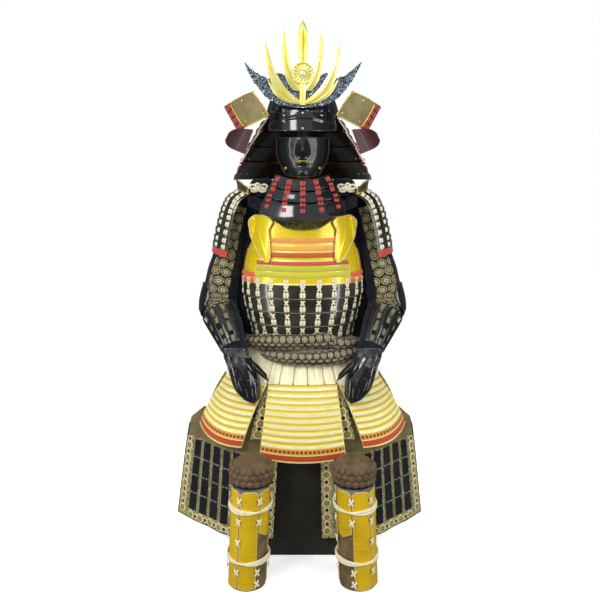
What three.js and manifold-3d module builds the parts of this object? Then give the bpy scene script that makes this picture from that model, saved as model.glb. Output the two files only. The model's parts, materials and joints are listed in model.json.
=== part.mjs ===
// Samurai armour set on its armour chest, with the plain wooden stand that carries it.
// Millimetres, +Z up, origin on the floor under the middle of the set. The armour faces -Y.
import * as THREE from 'three';
import { mergeVertices } from 'three/addons/utils/BufferGeometryUtils.js';
import Module from 'manifold-3d';

const wasm = await Module();
wasm.setup();

// ---------- driving dimensions ----------
const TOTAL_HEIGHT = 1650;
const SEAM = 0.3;                 // gap between neighbouring pieces
const LEATHER = 2.5;              // wall of the laced plates and of leather
const CLOTH = 2;                  // wall of sleeve and apron cloth
const STEEL = 2.5;                // wall of helmet, mask and hand plates
const AXIS_Y = 92;                // middle of helmet, torso and stand, front to back

// torso rings, from the waist up
const TORSO = [
  { z: 640, halfWidth: 164, halfDepth: 126 },
  { z: 700, halfWidth: 164, halfDepth: 128 },
  { z: 775, halfWidth: 182, halfDepth: 140 },
  { z: 854, halfWidth: 196, halfDepth: 148 },
  { z: 940, halfWidth: 188, halfDepth: 146 },
  { z: 1000, halfWidth: 175, halfDepth: 143 },
  { z: 1040, halfWidth: 168, halfDepth: 140 },
  { z: 1140, halfWidth: 154, halfDepth: 130 },
];
const WAIST_Z = 700;
const UPPER_PLATE_Z = 877;        // lower edge of the upper plates
const WAIST_LAMES = 4;

const CHEST = { halfWidth: 190, front: -85, back: 255, height: 430, lid: 62, lidStep: 4 };
const SKIRT = { top: 696, bottom: 578, halfWidth: 250, halfDepth: 172, centreY: 62 };

const COLOURS = {
  black: 0x14151a, redBlack: 0x4a1410, gold: 0xe0a91c, yellow: 0xeab516, olive: 0x7d7034,
  cream: 0xefe6c4, brocade: 0x55512c, brown: 0x5b4331, sash: 0x6b5c4a, chest: 0x23221d,
  wood: 0x1c1712, steel: 0x2c3844, cloth: 0x5e4f2f, crest: 0xf0d654,
};

// ---------- building tools ----------
const group = new THREE.Group();

function add(name, geometry, colour, metalness = 0.1, roughness = 0.5) {
  const material = new THREE.MeshStandardMaterial({ color: COLOURS[colour], metalness, roughness });
  const mesh = new THREE.Mesh(geometry, material);
  mesh.name = name;
  group.add(mesh);
}

function mirror(geometry) {
  const other = geometry.clone().scale(-1, 1, 1);
  const order = Array.from(other.index.array);
  for (let i = 0; i < order.length; i += 3) [order[i], order[i + 1]] = [order[i + 1], order[i]];
  other.setIndex(order);
  return other;
}

// The same piece on the viewer's right and, mirrored, on the left.
function addPair(name, geometry, colour, metalness, roughness) {
  add(`${name}_right`, geometry, colour, metalness, roughness);
  add(`${name}_left`, mirror(geometry), colour, metalness, roughness);
}

const lerp = THREE.MathUtils.lerp;
const rad = THREE.MathUtils.degToRad;

// The value of every column of a table at a given key, between its rows.
function tableAt(rows, key, value) {
  const last = rows.length - 1;
  let i = 0;
  const rising = rows[last][key] > rows[0][key];
  while (i < last - 1 && (rising ? value > rows[i + 1][key] : value < rows[i + 1][key])) i += 1;
  const t = THREE.MathUtils.clamp((value - rows[i][key]) / (rows[i + 1][key] - rows[i][key]), 0, 1);
  const out = {};
  for (const column of Object.keys(rows[i])) out[column] = lerp(rows[i][column], rows[i + 1][column], t);
  return out;
}

// A closed body from loose triangles: equal corners are joined and empty triangles dropped.
function closedBody(corners, triangles) {
  const ids = new Map();
  const points = [];
  const weld = corners.map((p) => {
    const key = `${p.x.toFixed(3)},${p.y.toFixed(3)},${p.z.toFixed(3)}`;
    if (!ids.has(key)) {
      ids.set(key, points.length);
      points.push(p);
    }
    return ids.get(key);
  });
  let faces = triangles.map((t) => t.map((i) => weld[i]));
  faces = faces.filter(([a, b, c]) => a !== b && b !== c && c !== a);
  let volume = 0;
  for (const [a, b, c] of faces) {
    volume += points[a].dot(new THREE.Vector3().crossVectors(points[b], points[c]));
  }
  if (volume < 0) faces = faces.map(([a, b, c]) => [a, c, b]);
  const geometry = new THREE.BufferGeometry();
  geometry.setAttribute('position', new THREE.Float32BufferAttribute(points.flatMap((p) => p.toArray()), 3));
  geometry.setIndex(faces.flat());
  return geometry;
}

// A wall of one thickness behind a surface point(u, v), u and v from 0 to 1. Seen from the front of
// the surface u runs to the right and v up; with v running down the thickness is given as negative.
// closed joins u = 0 to u = 1.
function wall(point, nu, nv, thickness, closed = false) {
  const step = 1e-3;
  const normalAt = (u, v) => {
    const u0 = closed ? u - step : Math.max(u - step, 0);
    const u1 = closed ? u + step : Math.min(u + step, 1);
    const v0 = Math.max(v - step, 0);
    const v1 = Math.min(v + step, 1);
    const along = point(u1, v).sub(point(u0, v));
    const up = point(u, v1).sub(point(u, v0));
    return along.cross(up).normalize();
  };
  const columns = closed ? nu : nu + 1;
  const corners = [];
  for (const depth of [0, thickness]) {
    for (let j = 0; j <= nv; j += 1) {
      for (let i = 0; i < columns; i += 1) {
        const p = point(i / nu, j / nv);
        if (depth) p.addScaledVector(normalAt(i / nu, j / nv), -depth);
        corners.push(p);
      }
    }
  }
  const layer = columns * (nv + 1);
  const id = (i, j, back) => (closed ? (i + nu) % nu : i) + j * columns + (back ? layer : 0);
  const inside = (i, j) => {
    if (j < 0 || j >= nv) return false;
    return closed || (i >= 0 && i < nu);
  };
  const triangles = [];
  const quad = (a, b, c, d) => triangles.push([a, b, c], [a, c, d]);
  for (let j = 0; j < nv; j += 1) {
    for (let i = 0; i < nu; i += 1) {
      quad(id(i, j, 0), id(i + 1, j, 0), id(i + 1, j + 1, 0), id(i, j + 1, 0));
      quad(id(i, j, 1), id(i, j + 1, 1), id(i + 1, j + 1, 1), id(i + 1, j, 1));
      if (!inside(i, j - 1)) quad(id(i, j, 0), id(i, j, 1), id(i + 1, j, 1), id(i + 1, j, 0));
      if (!inside(i, j + 1)) quad(id(i, j + 1, 0), id(i + 1, j + 1, 0), id(i + 1, j + 1, 1), id(i, j + 1, 1));
      if (!inside(i - 1, j)) quad(id(i, j, 0), id(i, j + 1, 0), id(i, j + 1, 1), id(i, j, 1));
      if (!inside(i + 1, j)) quad(id(i + 1, j, 0), id(i + 1, j, 1), id(i + 1, j + 1, 1), id(i + 1, j + 1, 0));
    }
  }
  return closedBody(corners, triangles);
}

// A round solid of changing radius along a smooth line of rows { x, y, z, r }, closed at both ends.
function roll(rows, steps, sides) {
  const curve = new THREE.CatmullRomCurve3(rows.map((r) => new THREE.Vector3(r.x, r.y, r.z)));
  const frames = curve.computeFrenetFrames(steps, false);
  const corners = [];
  const triangles = [];
  for (let j = 0; j <= steps; j += 1) {
    const t = j / steps;
    const place = t * (rows.length - 1);
    const k = Math.min(Math.floor(place), rows.length - 2);
    const r = lerp(rows[k].r, rows[k + 1].r, place - k);
    const centre = curve.getPoint(t);
    for (let i = 0; i < sides; i += 1) {
      const a = (i / sides) * 2 * Math.PI;
      const p = centre.clone();
      p.addScaledVector(frames.normals[j], r * Math.cos(a));
      p.addScaledVector(frames.binormals[j], r * Math.sin(a));
      corners.push(p);
    }
  }
  const id = (i, j) => (i % sides) + j * sides;
  for (let j = 0; j < steps; j += 1) {
    for (let i = 0; i < sides; i += 1) {
      triangles.push([id(i, j), id(i + 1, j), id(i + 1, j + 1)], [id(i, j), id(i + 1, j + 1), id(i, j + 1)]);
    }
  }
  for (let i = 1; i < sides - 1; i += 1) {
    triangles.push([id(0, 0), id(i + 1, 0), id(i, 0)]);
    triangles.push([id(0, steps), id(i, steps), id(i + 1, steps)]);
  }
  return closedBody(corners, triangles);
}

function toManifold(geometry) {
  const plain = geometry.clone();
  plain.deleteAttribute('normal');
  plain.deleteAttribute('uv');
  const merged = mergeVertices(plain, 1e-3);
  return new wasm.Manifold(new wasm.Mesh({
    numProp: 3,
    vertProperties: new Float32Array(merged.attributes.position.array),
    triVerts: new Uint32Array(merged.index.array),
  }));
}

// Several overlapping geometries as one body.
function joined(geometries) {
  const solid = geometries.map(toManifold).reduce((a, b) => a.add(b));
  const mesh = solid.getMesh();
  const geometry = new THREE.BufferGeometry();
  geometry.setAttribute('position', new THREE.BufferAttribute(mesh.vertProperties, 3));
  geometry.setIndex(new THREE.BufferAttribute(mesh.triVerts, 1));
  return geometry;
}

// An upright flat plate: an outline of [x, z] in front view, thick along Y from its front face back.
function plate(shape, front, thickness, curveSegments = 4) {
  const geometry = new THREE.ExtrudeGeometry(shape, { depth: thickness, bevelEnabled: false, curveSegments });
  geometry.rotateX(Math.PI / 2);
  geometry.translate(0, front + thickness, 0);
  return geometry;
}

function box(width, depth, height, x, y, z) {
  const geometry = new THREE.BoxGeometry(width, depth, height);
  geometry.translate(x, y, z + height / 2);
  return geometry;
}

// A point of an upright ellipse, the angle counted from the front towards +X.
function ringPoint(angle, z, halfWidth, halfDepth, centreY = AXIS_Y) {
  return new THREE.Vector3(halfWidth * Math.sin(angle), centreY - halfDepth * Math.cos(angle), z);
}

function torsoPoint(angle, z, out = 0) {
  const ring = tableAt(TORSO, 'z', z);
  return ringPoint(angle, z, ring.halfWidth + out, ring.halfDepth + out);
}

// ---------- torso armour ----------
// Top edge of the upper plates by angle from the front (or the back): neckline, shoulder, armhole.
const FRONT_EDGE = [
  { angle: 0, z: 1043 }, { angle: 18, z: 1050 }, { angle: 34, z: 1073 }, { angle: 44, z: 1082 },
  { angle: 52, z: 1070 }, { angle: 62, z: 1020 }, { angle: 70, z: 992 },
];
const BACK_EDGE = [
  { angle: 0, z: 1108 }, { angle: 20, z: 1106 }, { angle: 44, z: 1092 }, { angle: 56, z: 1060 },
  { angle: 70, z: 992 },
];
const UPPER_HALF_ANGLE = 70;

function upperPlate(edge, turn) {
  return wall((u, v) => {
    const angle = lerp(-UPPER_HALF_ANGLE, UPPER_HALF_ANGLE, u);
    const top = tableAt(edge, 'angle', Math.abs(angle)).z;
    return torsoPoint(rad(angle + turn), lerp(UPPER_PLATE_Z + SEAM, top, v));
  }, 20, 5, LEATHER);
}
add('dou_front', upperPlate(FRONT_EDGE, 0), 'yellow', 0.2, 0.4);
add('dou_back', upperPlate(BACK_EDGE, 180), 'yellow', 0.2, 0.4);

addPair('side_plate', wall((u, v) => {
  const angle = lerp(UPPER_HALF_ANGLE + 0.4, 180 - UPPER_HALF_ANGLE - 0.4, u);
  const top = 986 - 16 * Math.sin(u * Math.PI);
  return torsoPoint(rad(angle), lerp(UPPER_PLATE_Z + SEAM, top, v));
}, 4, 2, LEATHER), 'yellow', 0.2, 0.4);

// Waist lames: each is a hoop whose foot stands out over the head of the next one down.
const LAME_FLARE = 2.2;
for (let k = 0; k < WAIST_LAMES; k += 1) {
  const height = (UPPER_PLATE_Z - WAIST_Z) / WAIST_LAMES;
  const foot = UPPER_PLATE_Z - height * (k + 1);
  add(`waist_lame_${k + 1}`, wall((u, v) => {
    const z = lerp(foot + 2 * SEAM, foot + height, v);
    return torsoPoint(u * 2 * Math.PI, z, LAME_FLARE * (1 - v));
  }, 28, 1, LEATHER, true), 'black', 0.3, 0.25);
}

// Cloth edge that shows in the neckline, just inside the plates.
add('neck_cloth', wall((u, v) => {
  const angle = rad(lerp(-50, 50, u));
  const rise = 1072 + 34 * Math.sin(angle) ** 2;
  return torsoPoint(angle, lerp(1010, rise, v), -6 - 10 * v);
}, 10, 1, CLOTH), 'brocade', 0, 0.8);

// Shoulder straps, from the front plate over the shoulder to the back plate, each with a small padded
// wing that rises towards the shoulder guard.
const STRAP = { inner: 84, outer: 174, wing: 0.6, rise: 15 };
addPair('shoulder_strap', wall((u, v) => {
  const along = lerp(1, -1, v);
  const rise = STRAP.rise * Math.max(0, (u - STRAP.wing) / (1 - STRAP.wing));
  return new THREE.Vector3(lerp(STRAP.inner, STRAP.outer, u) - 6 * along ** 2, AXIS_Y - 96 * along,
    1142 - 40 * along ** 4 + rise);
}, 4, 7, 4), 'black', 0.1, 0.5);

// Leaf plates that hang over the strap fastenings: outline by height, on the chest plate.
const LEAF = [
  { z: 946, outer: 114, inner: 106 }, { z: 956, outer: 125, inner: 101 }, { z: 975, outer: 139, inner: 100 },
  { z: 998, outer: 152, inner: 101 }, { z: 1022, outer: 164, inner: 103 }, { z: 1040, outer: 166, inner: 105 },
  { z: 1079, outer: 160, inner: 101 }, { z: 1087, outer: 148, inner: 116 },
];
addPair('leaf_plate', wall((u, v) => {
  const place = v * (LEAF.length - 1);
  const k = Math.min(Math.floor(place), LEAF.length - 2);
  const row = tableAt(LEAF, 'z', lerp(LEAF[k].z, LEAF[k + 1].z, place - k));
  const x = lerp(row.inner, row.outer, u);
  const ring = tableAt(TORSO, 'z', row.z);
  const y = AXIS_Y - ring.halfDepth * Math.sqrt(1 - Math.min((x / ring.halfWidth) ** 2, 0.86));
  return new THREE.Vector3(x, y - 9, row.z);
}, 3, 7, 3), 'yellow', 0.4, 0.35);

// ---------- helmet ----------
const BOWL = { z: 1376, halfWidth: 112, halfDepth: 128, height: 120 };
add('kabuto_bowl', wall((u, v) => {
  const lift = v * Math.PI / 2;
  const spread = Math.cos(lift) ** 0.8;
  return ringPoint(u * 2 * Math.PI, BOWL.z + BOWL.height * Math.sin(lift),
    BOWL.halfWidth * spread, BOWL.halfDepth * spread);
}, 20, 5, STEEL, true), 'black', 0.5, 0.25);

add('kabuto_brim', wall((u, v) => {
  const angle = rad(lerp(-56, 56, u));
  return ringPoint(angle, lerp(1338, 1393, v) + 6 * Math.sin(angle) ** 2, 122 - 6 * v, 148 - 14 * v);
}, 12, 2, STEEL), 'black', 0.5, 0.2);

// Neck guard: lames that widen downwards, open in front; each starts further back than the one above.
const NECK_LAMES = [
  { top: 1384, foot: 1339, topWidth: 119, footWidth: 149, open: 66 },
  { top: 1336, foot: 1292, topWidth: 148, footWidth: 177, open: 70 },
  { top: 1289, foot: 1244, topWidth: 175, footWidth: 200, open: 75 },
  { top: 1241, foot: 1195, topWidth: 198, footWidth: 219, open: 81 },
];
NECK_LAMES.forEach((lame, k) => {
  add(`neck_lame_${k + 1}`, wall((u, v) => {
    const open = lame.open - 6 * v;
    const width = lerp(lame.footWidth, lame.topWidth, v);
    const depth = lerp(134, 190, (width - 119) / 100);
    return ringPoint(rad(lerp(open, 360 - open, u)), lerp(lame.foot, lame.top, v), width, depth);
  }, 22, 1, LEATHER), 'redBlack', 0.2, 0.35);
});

// Four-cornered plates with a belly. Seen from the front the corners run right along the foot, then
// back along the head; belly is how far the middle stands out.
function cornered(corners, belly, nu, nv, thickness) {
  const [a, b, c, d] = corners.map((p) => new THREE.Vector3(...p));
  const out = b.clone().sub(a).cross(d.clone().sub(a)).normalize();
  return wall((u, v) => {
    const low = a.clone().lerp(b, u);
    const high = d.clone().lerp(c, u);
    return low.lerp(high, v).addScaledVector(out, belly * 4 * u * (1 - u));
  }, nu, nv, thickness);
}

addPair('turned_wing', cornered(
  [[97, -24, 1384], [200, 40, 1340], [242, 52, 1416], [148, -8, 1457]], 10, 5, 3, STEEL), 'olive', 0.4, 0.45);
addPair('lower_wing', cornered(
  [[178, 12, 1274], [246, 58, 1303], [222, 56, 1350], [150, 4, 1344]], 8, 4, 2, STEEL), 'redBlack', 0.2, 0.35);

// Crest plate: a broad crescent with cloud scrolls along its edge, and the gilt crest in front of it.
const CREST_BASE = new THREE.Shape();
CREST_BASE.moveTo(0, 1404);
CREST_BASE.quadraticCurveTo(84, 1404, 118, 1446);
CREST_BASE.quadraticCurveTo(150, 1484, 171, 1534);
CREST_BASE.quadraticCurveTo(136, 1496, 100, 1486);
CREST_BASE.quadraticCurveTo(78, 1508, 56, 1496);
CREST_BASE.quadraticCurveTo(30, 1516, 0, 1500);
CREST_BASE.quadraticCurveTo(-30, 1516, -56, 1496);
CREST_BASE.quadraticCurveTo(-78, 1508, -100, 1486);
CREST_BASE.quadraticCurveTo(-136, 1496, -171, 1534);
CREST_BASE.quadraticCurveTo(-150, 1484, -118, 1446);
CREST_BASE.quadraticCurveTo(-84, 1404, 0, 1404);
const CREST_Y = -44;              // front face of the crest plate
add('crest_base', plate(CREST_BASE, CREST_Y, 4), 'steel', 0.6, 0.5);

// The crest: an upright blade, a sun disc behind it, and three pairs of curved fronds.
function frond(side, foot, bend, tip, width) {
  const shape = new THREE.Shape();
  shape.moveTo(side * (foot[0] - width / 2), foot[1]);
  shape.quadraticCurveTo(side * (bend[0] - width / 2), bend[1] + width / 4, side * tip[0], tip[1]);
  shape.quadraticCurveTo(side * (bend[0] + width / 2), bend[1] - width / 4, side * (foot[0] + width / 2), foot[1]);
  return shape;
}
const BLADE = new THREE.Shape();
BLADE.moveTo(-9, 1412);
BLADE.lineTo(9, 1412);
BLADE.lineTo(10, 1500);
BLADE.lineTo(17, 1590);
BLADE.quadraticCurveTo(12, 1628, 0, TOTAL_HEIGHT);
BLADE.quadraticCurveTo(-12, 1628, -17, 1590);
BLADE.lineTo(-10, 1500);
const DISC = new THREE.Shape();
DISC.absarc(0, 1500, 31, 0, 2 * Math.PI, false);
const crestParts = [plate(BLADE, CREST_Y - 4, 3), plate(DISC, CREST_Y - 4, 3, 10)];
for (const side of [-1, 1]) {
  crestParts.push(plate(frond(side, [14, 1418], [98, 1452], [108, 1596], 34), CREST_Y - 4, 3));
  crestParts.push(plate(frond(side, [10, 1452], [62, 1500], [52, 1632], 28), CREST_Y - 4, 3));
  crestParts.push(plate(frond(side, [8, 1414], [70, 1420], [104, 1486], 22), CREST_Y - 4, 3));
}
add('crest', joined(crestParts), 'crest', 0.7, 0.3);

// ---------- mask and throat guard ----------
// A plain half mask of ordinary proportions: cheeks, nose, closed calm lips and a rounded chin.
const MASK = { chin: 1204, top: 1318, halfWidth: 80, front: -62 };
const bump = (d, size) => Math.exp(-(d / size) * (d / size));
add('mask_face', wall((u, v) => {
  const s = lerp(-1, 1, u);
  const z = lerp(MASK.chin, MASK.top, v) + 12 * s * s * (1 - v);
  const width = MASK.halfWidth * (0.7 + 0.3 * Math.sin(Math.min(v * 1.5, 1) * Math.PI / 2));
  const x = width * Math.sin(rad(86) * s);
  const cheek = MASK.front + 92 * (1 - Math.cos(rad(86) * s));
  const nose = -26 * bump(x, 13) * bump(z - 1284, 22);
  const chin = -12 * bump(x, 26) * bump(z - 1216, 16);
  const lips = -6 * bump(x, 30) * bump(z - 1250, 9);
  return new THREE.Vector3(x, cheek + nose + chin + lips, z);
}, 14, 9, STEEL), 'black', 0.4, 0.25);

const THROAT = [
  { top: 1196, foot: 1164, topWidth: 80, footWidth: 98, topY: -70, footY: -82 },
  { top: 1161, foot: 1130, topWidth: 98, footWidth: 114, topY: -80, footY: -90 },
  { top: 1127, foot: 1082, topWidth: 114, footWidth: 132, topY: -88, footY: -100 },
];
THROAT.forEach((lame, k) => {
  const last = k === THROAT.length - 1;
  add(`throat_lame_${k + 1}`, wall((u, v) => {
    const s = lerp(-1, 1, u);
    const scallop = last ? 6 * Math.abs(Math.sin(2.5 * Math.PI * u)) * (1 - v) : 0;
    const x = lerp(lame.footWidth, lame.topWidth, v) * s;
    const y = lerp(lame.footY, lame.topY, v) + 46 * s * s;
    return new THREE.Vector3(x, y, lerp(lame.foot, lame.top, v) + 16 * s * s - scallop);
  }, last ? 20 : 10, 1, LEATHER), 'black', 0.3, 0.3);
});

// ---------- shoulder guards ----------
const SODE = [
  { z: 968, outer: 291, turn: 64 }, { z: 1011, outer: 283, turn: 62 }, { z: 1071, outer: 269, turn: 60 },
  { z: 1118, outer: 253, turn: 56 }, { z: 1150, outer: 231, turn: 52 }, { z: 1172, outer: 192, turn: 44 },
];
const SODE_DROP = 18;             // the front and back edges hang lower than the middle by 0.83 of this
addPair('shoulder_guard', wall((u, v) => {
  const place = v * (SODE.length - 1);
  const k = Math.min(Math.floor(place), SODE.length - 2);
  const row = tableAt(SODE, 'z', lerp(SODE[k].z, SODE[k + 1].z, place - k));
  const angle = rad(lerp(-80, 80, u));
  const x = row.outer - row.turn * (1 - Math.cos(angle));
  return new THREE.Vector3(x, 90 + 76 * Math.sin(angle), row.z - SODE_DROP * (1 - Math.cos(angle)));
}, 8, 5, 3), 'black', 0.2, 0.4);

// ---------- sleeves ----------
const ARM = [
  { x: 198, y: 94, z: 1112, r: 42 }, { x: 221, y: 92, z: 1040, r: 46 }, { x: 236, y: 88, z: 965, r: 47 },
  { x: 255, y: 80, z: 896, r: 54 }, { x: 268, y: 66, z: 810, r: 57 }, { x: 257, y: 34, z: 767, r: 55 },
  { x: 234, y: -14, z: 732, r: 48 }, { x: 213, y: -52, z: 694, r: 39 }, { x: 204, y: -72, z: 668, r: 35 },
];
const ARM_LINE = new THREE.CatmullRomCurve3(ARM.map((p) => new THREE.Vector3(p.x, p.y, p.z)));
const ELBOW = 4 / (ARM.length - 1);
const ELBOW_GAP = 0.009;          // of the arm's length, on each side of the elbow seam

// A point of the sleeve: along from 0 at the shoulder to 1 at the wrist, angle from the outer side
// towards the front.
function armPoint(along, angle, out = 0) {
  const centre = ARM_LINE.getPoint(along);
  const line = ARM_LINE.getTangent(along);
  const outer = new THREE.Vector3(1, 0, 0).addScaledVector(line, -line.x).normalize();
  const front = new THREE.Vector3().crossVectors(line, outer).normalize();
  const place = along * (ARM.length - 1);
  const k = Math.min(Math.floor(place), ARM.length - 2);
  const r = lerp(ARM[k].r, ARM[k + 1].r, place - k) + out;
  return centre.addScaledVector(outer, r * Math.cos(angle)).addScaledVector(front, r * Math.sin(angle));
}

addPair('sleeve_upper', wall((u, v) => armPoint(lerp(0, ELBOW - ELBOW_GAP, v), u * 2 * Math.PI),
  12, 4, CLOTH, true), 'brocade', 0, 0.8);
addPair('sleeve_lower', wall((u, v) => armPoint(lerp(ELBOW + ELBOW_GAP, 1, v), u * 2 * Math.PI),
  12, 4, CLOTH, true), 'cloth', 0, 0.8);
addPair('elbow_plate', wall((u, v) => {
  const s = lerp(-1, 1, u);
  const t = lerp(-1, 1, v);
  const dome = 4.5 + 11 * Math.max(0, 1 - (s * s + t * t) / 2);
  return armPoint(ELBOW + 0.07 * t, rad(62 * s * Math.sqrt(1 - 0.45 * t * t)), dome);
}, 5, 5, STEEL), 'black', 0.4, 0.25);
addPair('forearm_splints', wall((u, v) => {
  const ridge = 1.2 * Math.abs(Math.sin(3 * Math.PI * u));
  return armPoint(lerp(ELBOW + 0.11, 0.93, v), rad(lerp(-118, 118, u)), 5 + ridge);
}, 12, 3, STEEL), 'black', 0.4, 0.25);

// Hand plates: an arched plate over the back of the hand, and a narrow one for the thumb.
const HAND = [
  { z: 534, x: 163, y: -138, half: 18, arch: 10 }, { z: 546, x: 165, y: -140, half: 32, arch: 20 },
  { z: 572, x: 171, y: -138, half: 41, arch: 26 }, { z: 608, x: 178, y: -132, half: 45, arch: 28 },
  { z: 642, x: 190, y: -124, half: 45, arch: 30 }, { z: 668, x: 202, y: -116, half: 42, arch: 32 },
];
addPair('hand_plate', wall((u, v) => {
  const place = v * (HAND.length - 1);
  const k = Math.min(Math.floor(place), HAND.length - 2);
  const row = tableAt(HAND, 'z', lerp(HAND[k].z, HAND[k + 1].z, place - k));
  const angle = rad(lerp(-90, 90, u));
  const x = row.x + row.half * Math.sin(angle);
  return new THREE.Vector3(x, row.y + row.arch * (1 - Math.cos(angle)), row.z + 8 * Math.sin(angle));
}, 8, 5, STEEL), 'black', 0.4, 0.25);
addPair('thumb_plate', wall((u, v) => {
  const angle = rad(lerp(-80, 80, v));
  const half = lerp(11, 15, Math.min(2 * u, 1));
  const x = lerp(106, 149, u) + 3 * Math.sin(angle);
  const z = lerp(650, 606, 1 - u) + half * Math.sin(angle);
  return new THREE.Vector3(x, -146 + 10 * (1 - Math.cos(angle)) + 8 * (1 - u), z);
}, 4, 4, STEEL), 'black', 0.4, 0.25);

// ---------- lacing skirt, sash and tassets ----------
const skirtPoint = (angle, v, out = 0) => {
  const waist = tableAt(TORSO, 'z', SKIRT.top);
  const width = lerp(SKIRT.halfWidth, waist.halfWidth - 1, v) + out;
  const depth = lerp(SKIRT.halfDepth, waist.halfDepth - 1, v) + out;
  return ringPoint(angle, lerp(SKIRT.bottom, SKIRT.top, v), width, depth, lerp(SKIRT.centreY, AXIS_Y, v));
};
add('lacing_skirt', wall((u, v) => skirtPoint(u * 2 * Math.PI, v), 32, 1, LEATHER, true), 'cream', 0, 0.8);

// The sash is two padded rolls round the waist: rows give angle from the front, height and radius.
const SASH_UPPER = [
  { angle: -88, z: 676, r: 13 }, { angle: -68, z: 686, r: 18 }, { angle: -44, z: 693, r: 21 },
  { angle: -20, z: 699, r: 22 }, { angle: 5, z: 702, r: 22 }, { angle: 22, z: 705, r: 25 },
  { angle: 38, z: 699, r: 14 },
];
const SASH_LOWER = [
  { angle: -38, z: 660, r: 12 }, { angle: -25, z: 657, r: 18 }, { angle: 0, z: 655, r: 20 },
  { angle: 25, z: 656, r: 21 }, { angle: 48, z: 661, r: 20 }, { angle: 70, z: 667, r: 17 },
  { angle: 88, z: 671, r: 13 },
];
const sashRows = (rows) => rows.map(({ angle, z, r }) => {
  const height = (z - SKIRT.bottom) / (SKIRT.top - SKIRT.bottom);
  const p = skirtPoint(rad(angle), height, r + (height > 0.9 ? 13 : 6));
  return { x: p.x, y: p.y, z, r };
});
add('sash_upper', roll(sashRows(SASH_UPPER), 14, 8), 'sash', 0, 0.85);
add('sash_lower', roll(sashRows(SASH_LOWER), 14, 8), 'sash', 0, 0.85);

// Tassets: head on the skirt's foot between two angles, foot between two corners, with a belly.
function tasset(from, to, footA, footB, belly) {
  const a = new THREE.Vector3(...footA);
  const b = new THREE.Vector3(...footB);
  const out = new THREE.Vector3(b.y - a.y, a.x - b.x, 0).normalize();
  return wall((u, v) => {
    const head = skirtPoint(rad(lerp(from, to, u)), 0, 1);
    head.z -= 2 * SEAM;
    const foot = a.clone().lerp(b, u).addScaledVector(out, belly * 4 * u * (1 - u));
    foot.z -= 10 * 4 * u * (1 - u);
    return foot.lerp(head, v).addScaledVector(out, 10 * Math.sin(Math.PI * v));
  }, 6, 4, 3);
}
add('tasset_front', tasset(-24.4, 24.4, [-131, -148, 358], [131, -148, 358], 16), 'cream', 0, 0.7);
add('tasset_back', tasset(154, 206, [150, 284, 390], [-150, 284, 390], 2), 'cream', 0, 0.7);
addPair('tasset_side', tasset(26, 76, [189, -128, 384], [330, -16, 427], 30), 'cream', 0, 0.7);
addPair('tasset_rear', tasset(85, 152, [322, 78, 418], [226, 270, 398], 26), 'cream', 0, 0.7);

// ---------- thigh guards ----------
// Plan of the hanging flap at its head and at its hem, from the middle outwards. The two flaps hang
// by themselves, so the one on the viewer's right has swung out a little less and hangs closer to the
// middle: spread moves a flap's outer edge, inner its inner edge.
const THIGH = { head: 470, hem: 72, slope: 46, left: { spread: -6, inner: -8 }, right: { spread: -26, inner: -40 } };
const THIGH_PLAN = [
  { u: 0, headX: 72, headY: -102, hemX: 100, hemY: -112 },
  { u: 0.35, headX: 190, headY: -100, hemX: 210, hemY: -105 },
  { u: 0.52, headX: 236, headY: -70, hemX: 262, hemY: -72 },
  { u: 0.82, headX: 322, headY: 16, hemX: 368, hemY: 18 },
  { u: 1, headX: 370, headY: 48, hemX: 432, hemY: 75 },
];
function thighFlap({ spread, inner }) {
  return wall((u, v) => {
    const row = tableAt(THIGH_PLAN, 'u', u);
    const swing = spread * u * u + inner * Math.max(0, 1 - u / THIGH_PLAN[1].u);
    const x = lerp(row.hemX + swing, row.headX + swing / 2, v);
    const slope = THIGH.slope * Math.max(0, (u - 0.82) / 0.18) * v ** 4;
    return new THREE.Vector3(x, lerp(row.hemY, row.headY, v), lerp(THIGH.hem, THIGH.head - slope, v));
  }, 10, 4, CLOTH);
}
add('thigh_guard_right', thighFlap(THIGH.right), 'cloth', 0, 0.8);
add('thigh_guard_left', mirror(thighFlap(THIGH.left)), 'cloth', 0, 0.8);

// ---------- shin guards ----------
const SHIN = { y: -235, footX: 167, lean: 17, height: 315, r: 57, splints: 5, scallop: 9 };
const shinCentre = (z) => SHIN.footX - SHIN.lean * (z / 350);
addPair('shin_guard', wall((u, v) => {
  const angle = rad(lerp(-150, 150, u));
  const dip = SHIN.scallop * (1 - Math.abs(Math.sin(Math.PI * SHIN.splints * u)));
  const z = lerp(SEAM, SHIN.height - dip, v);
  return new THREE.Vector3(shinCentre(z) + SHIN.r * Math.sin(angle), SHIN.y - SHIN.r * Math.cos(angle), z);
}, 24, 1, 4), 'gold', 0.5, 0.3);
addPair('knee_cap', wall((u, v) => {
  const half = 128 + 46 * Math.min(1, Math.max(0, (v - 1 / 3) * 4));
  const angle = rad(lerp(-half, half, u));
  const rise = Math.max(0, (v - 1 / 3) * 1.5) * Math.PI / 2;
  const r = 62 * Math.cos(rise * 0.94);
  const z = v < 1 / 3 ? lerp(322, 364, v * 3) : 364 + 39 * Math.sin(rise);
  return new THREE.Vector3(shinCentre(340) + r * Math.sin(angle), SHIN.y - r * Math.cos(angle), z);
}, 12, 6, 4), 'brown', 0.1, 0.6);

// ---------- chest and stand ----------
const chestDepth = CHEST.back - CHEST.front;
const chestMiddle = (CHEST.back + CHEST.front) / 2;
add('armour_chest', joined([
  box(CHEST.halfWidth * 2, chestDepth, CHEST.height - CHEST.lid + 1, 0, chestMiddle, 0),
  box((CHEST.halfWidth + CHEST.lidStep) * 2, chestDepth + 2 * CHEST.lidStep, CHEST.lid, 0, chestMiddle,
    CHEST.height - CHEST.lid),
]), 'chest', 0, 0.6);

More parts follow.
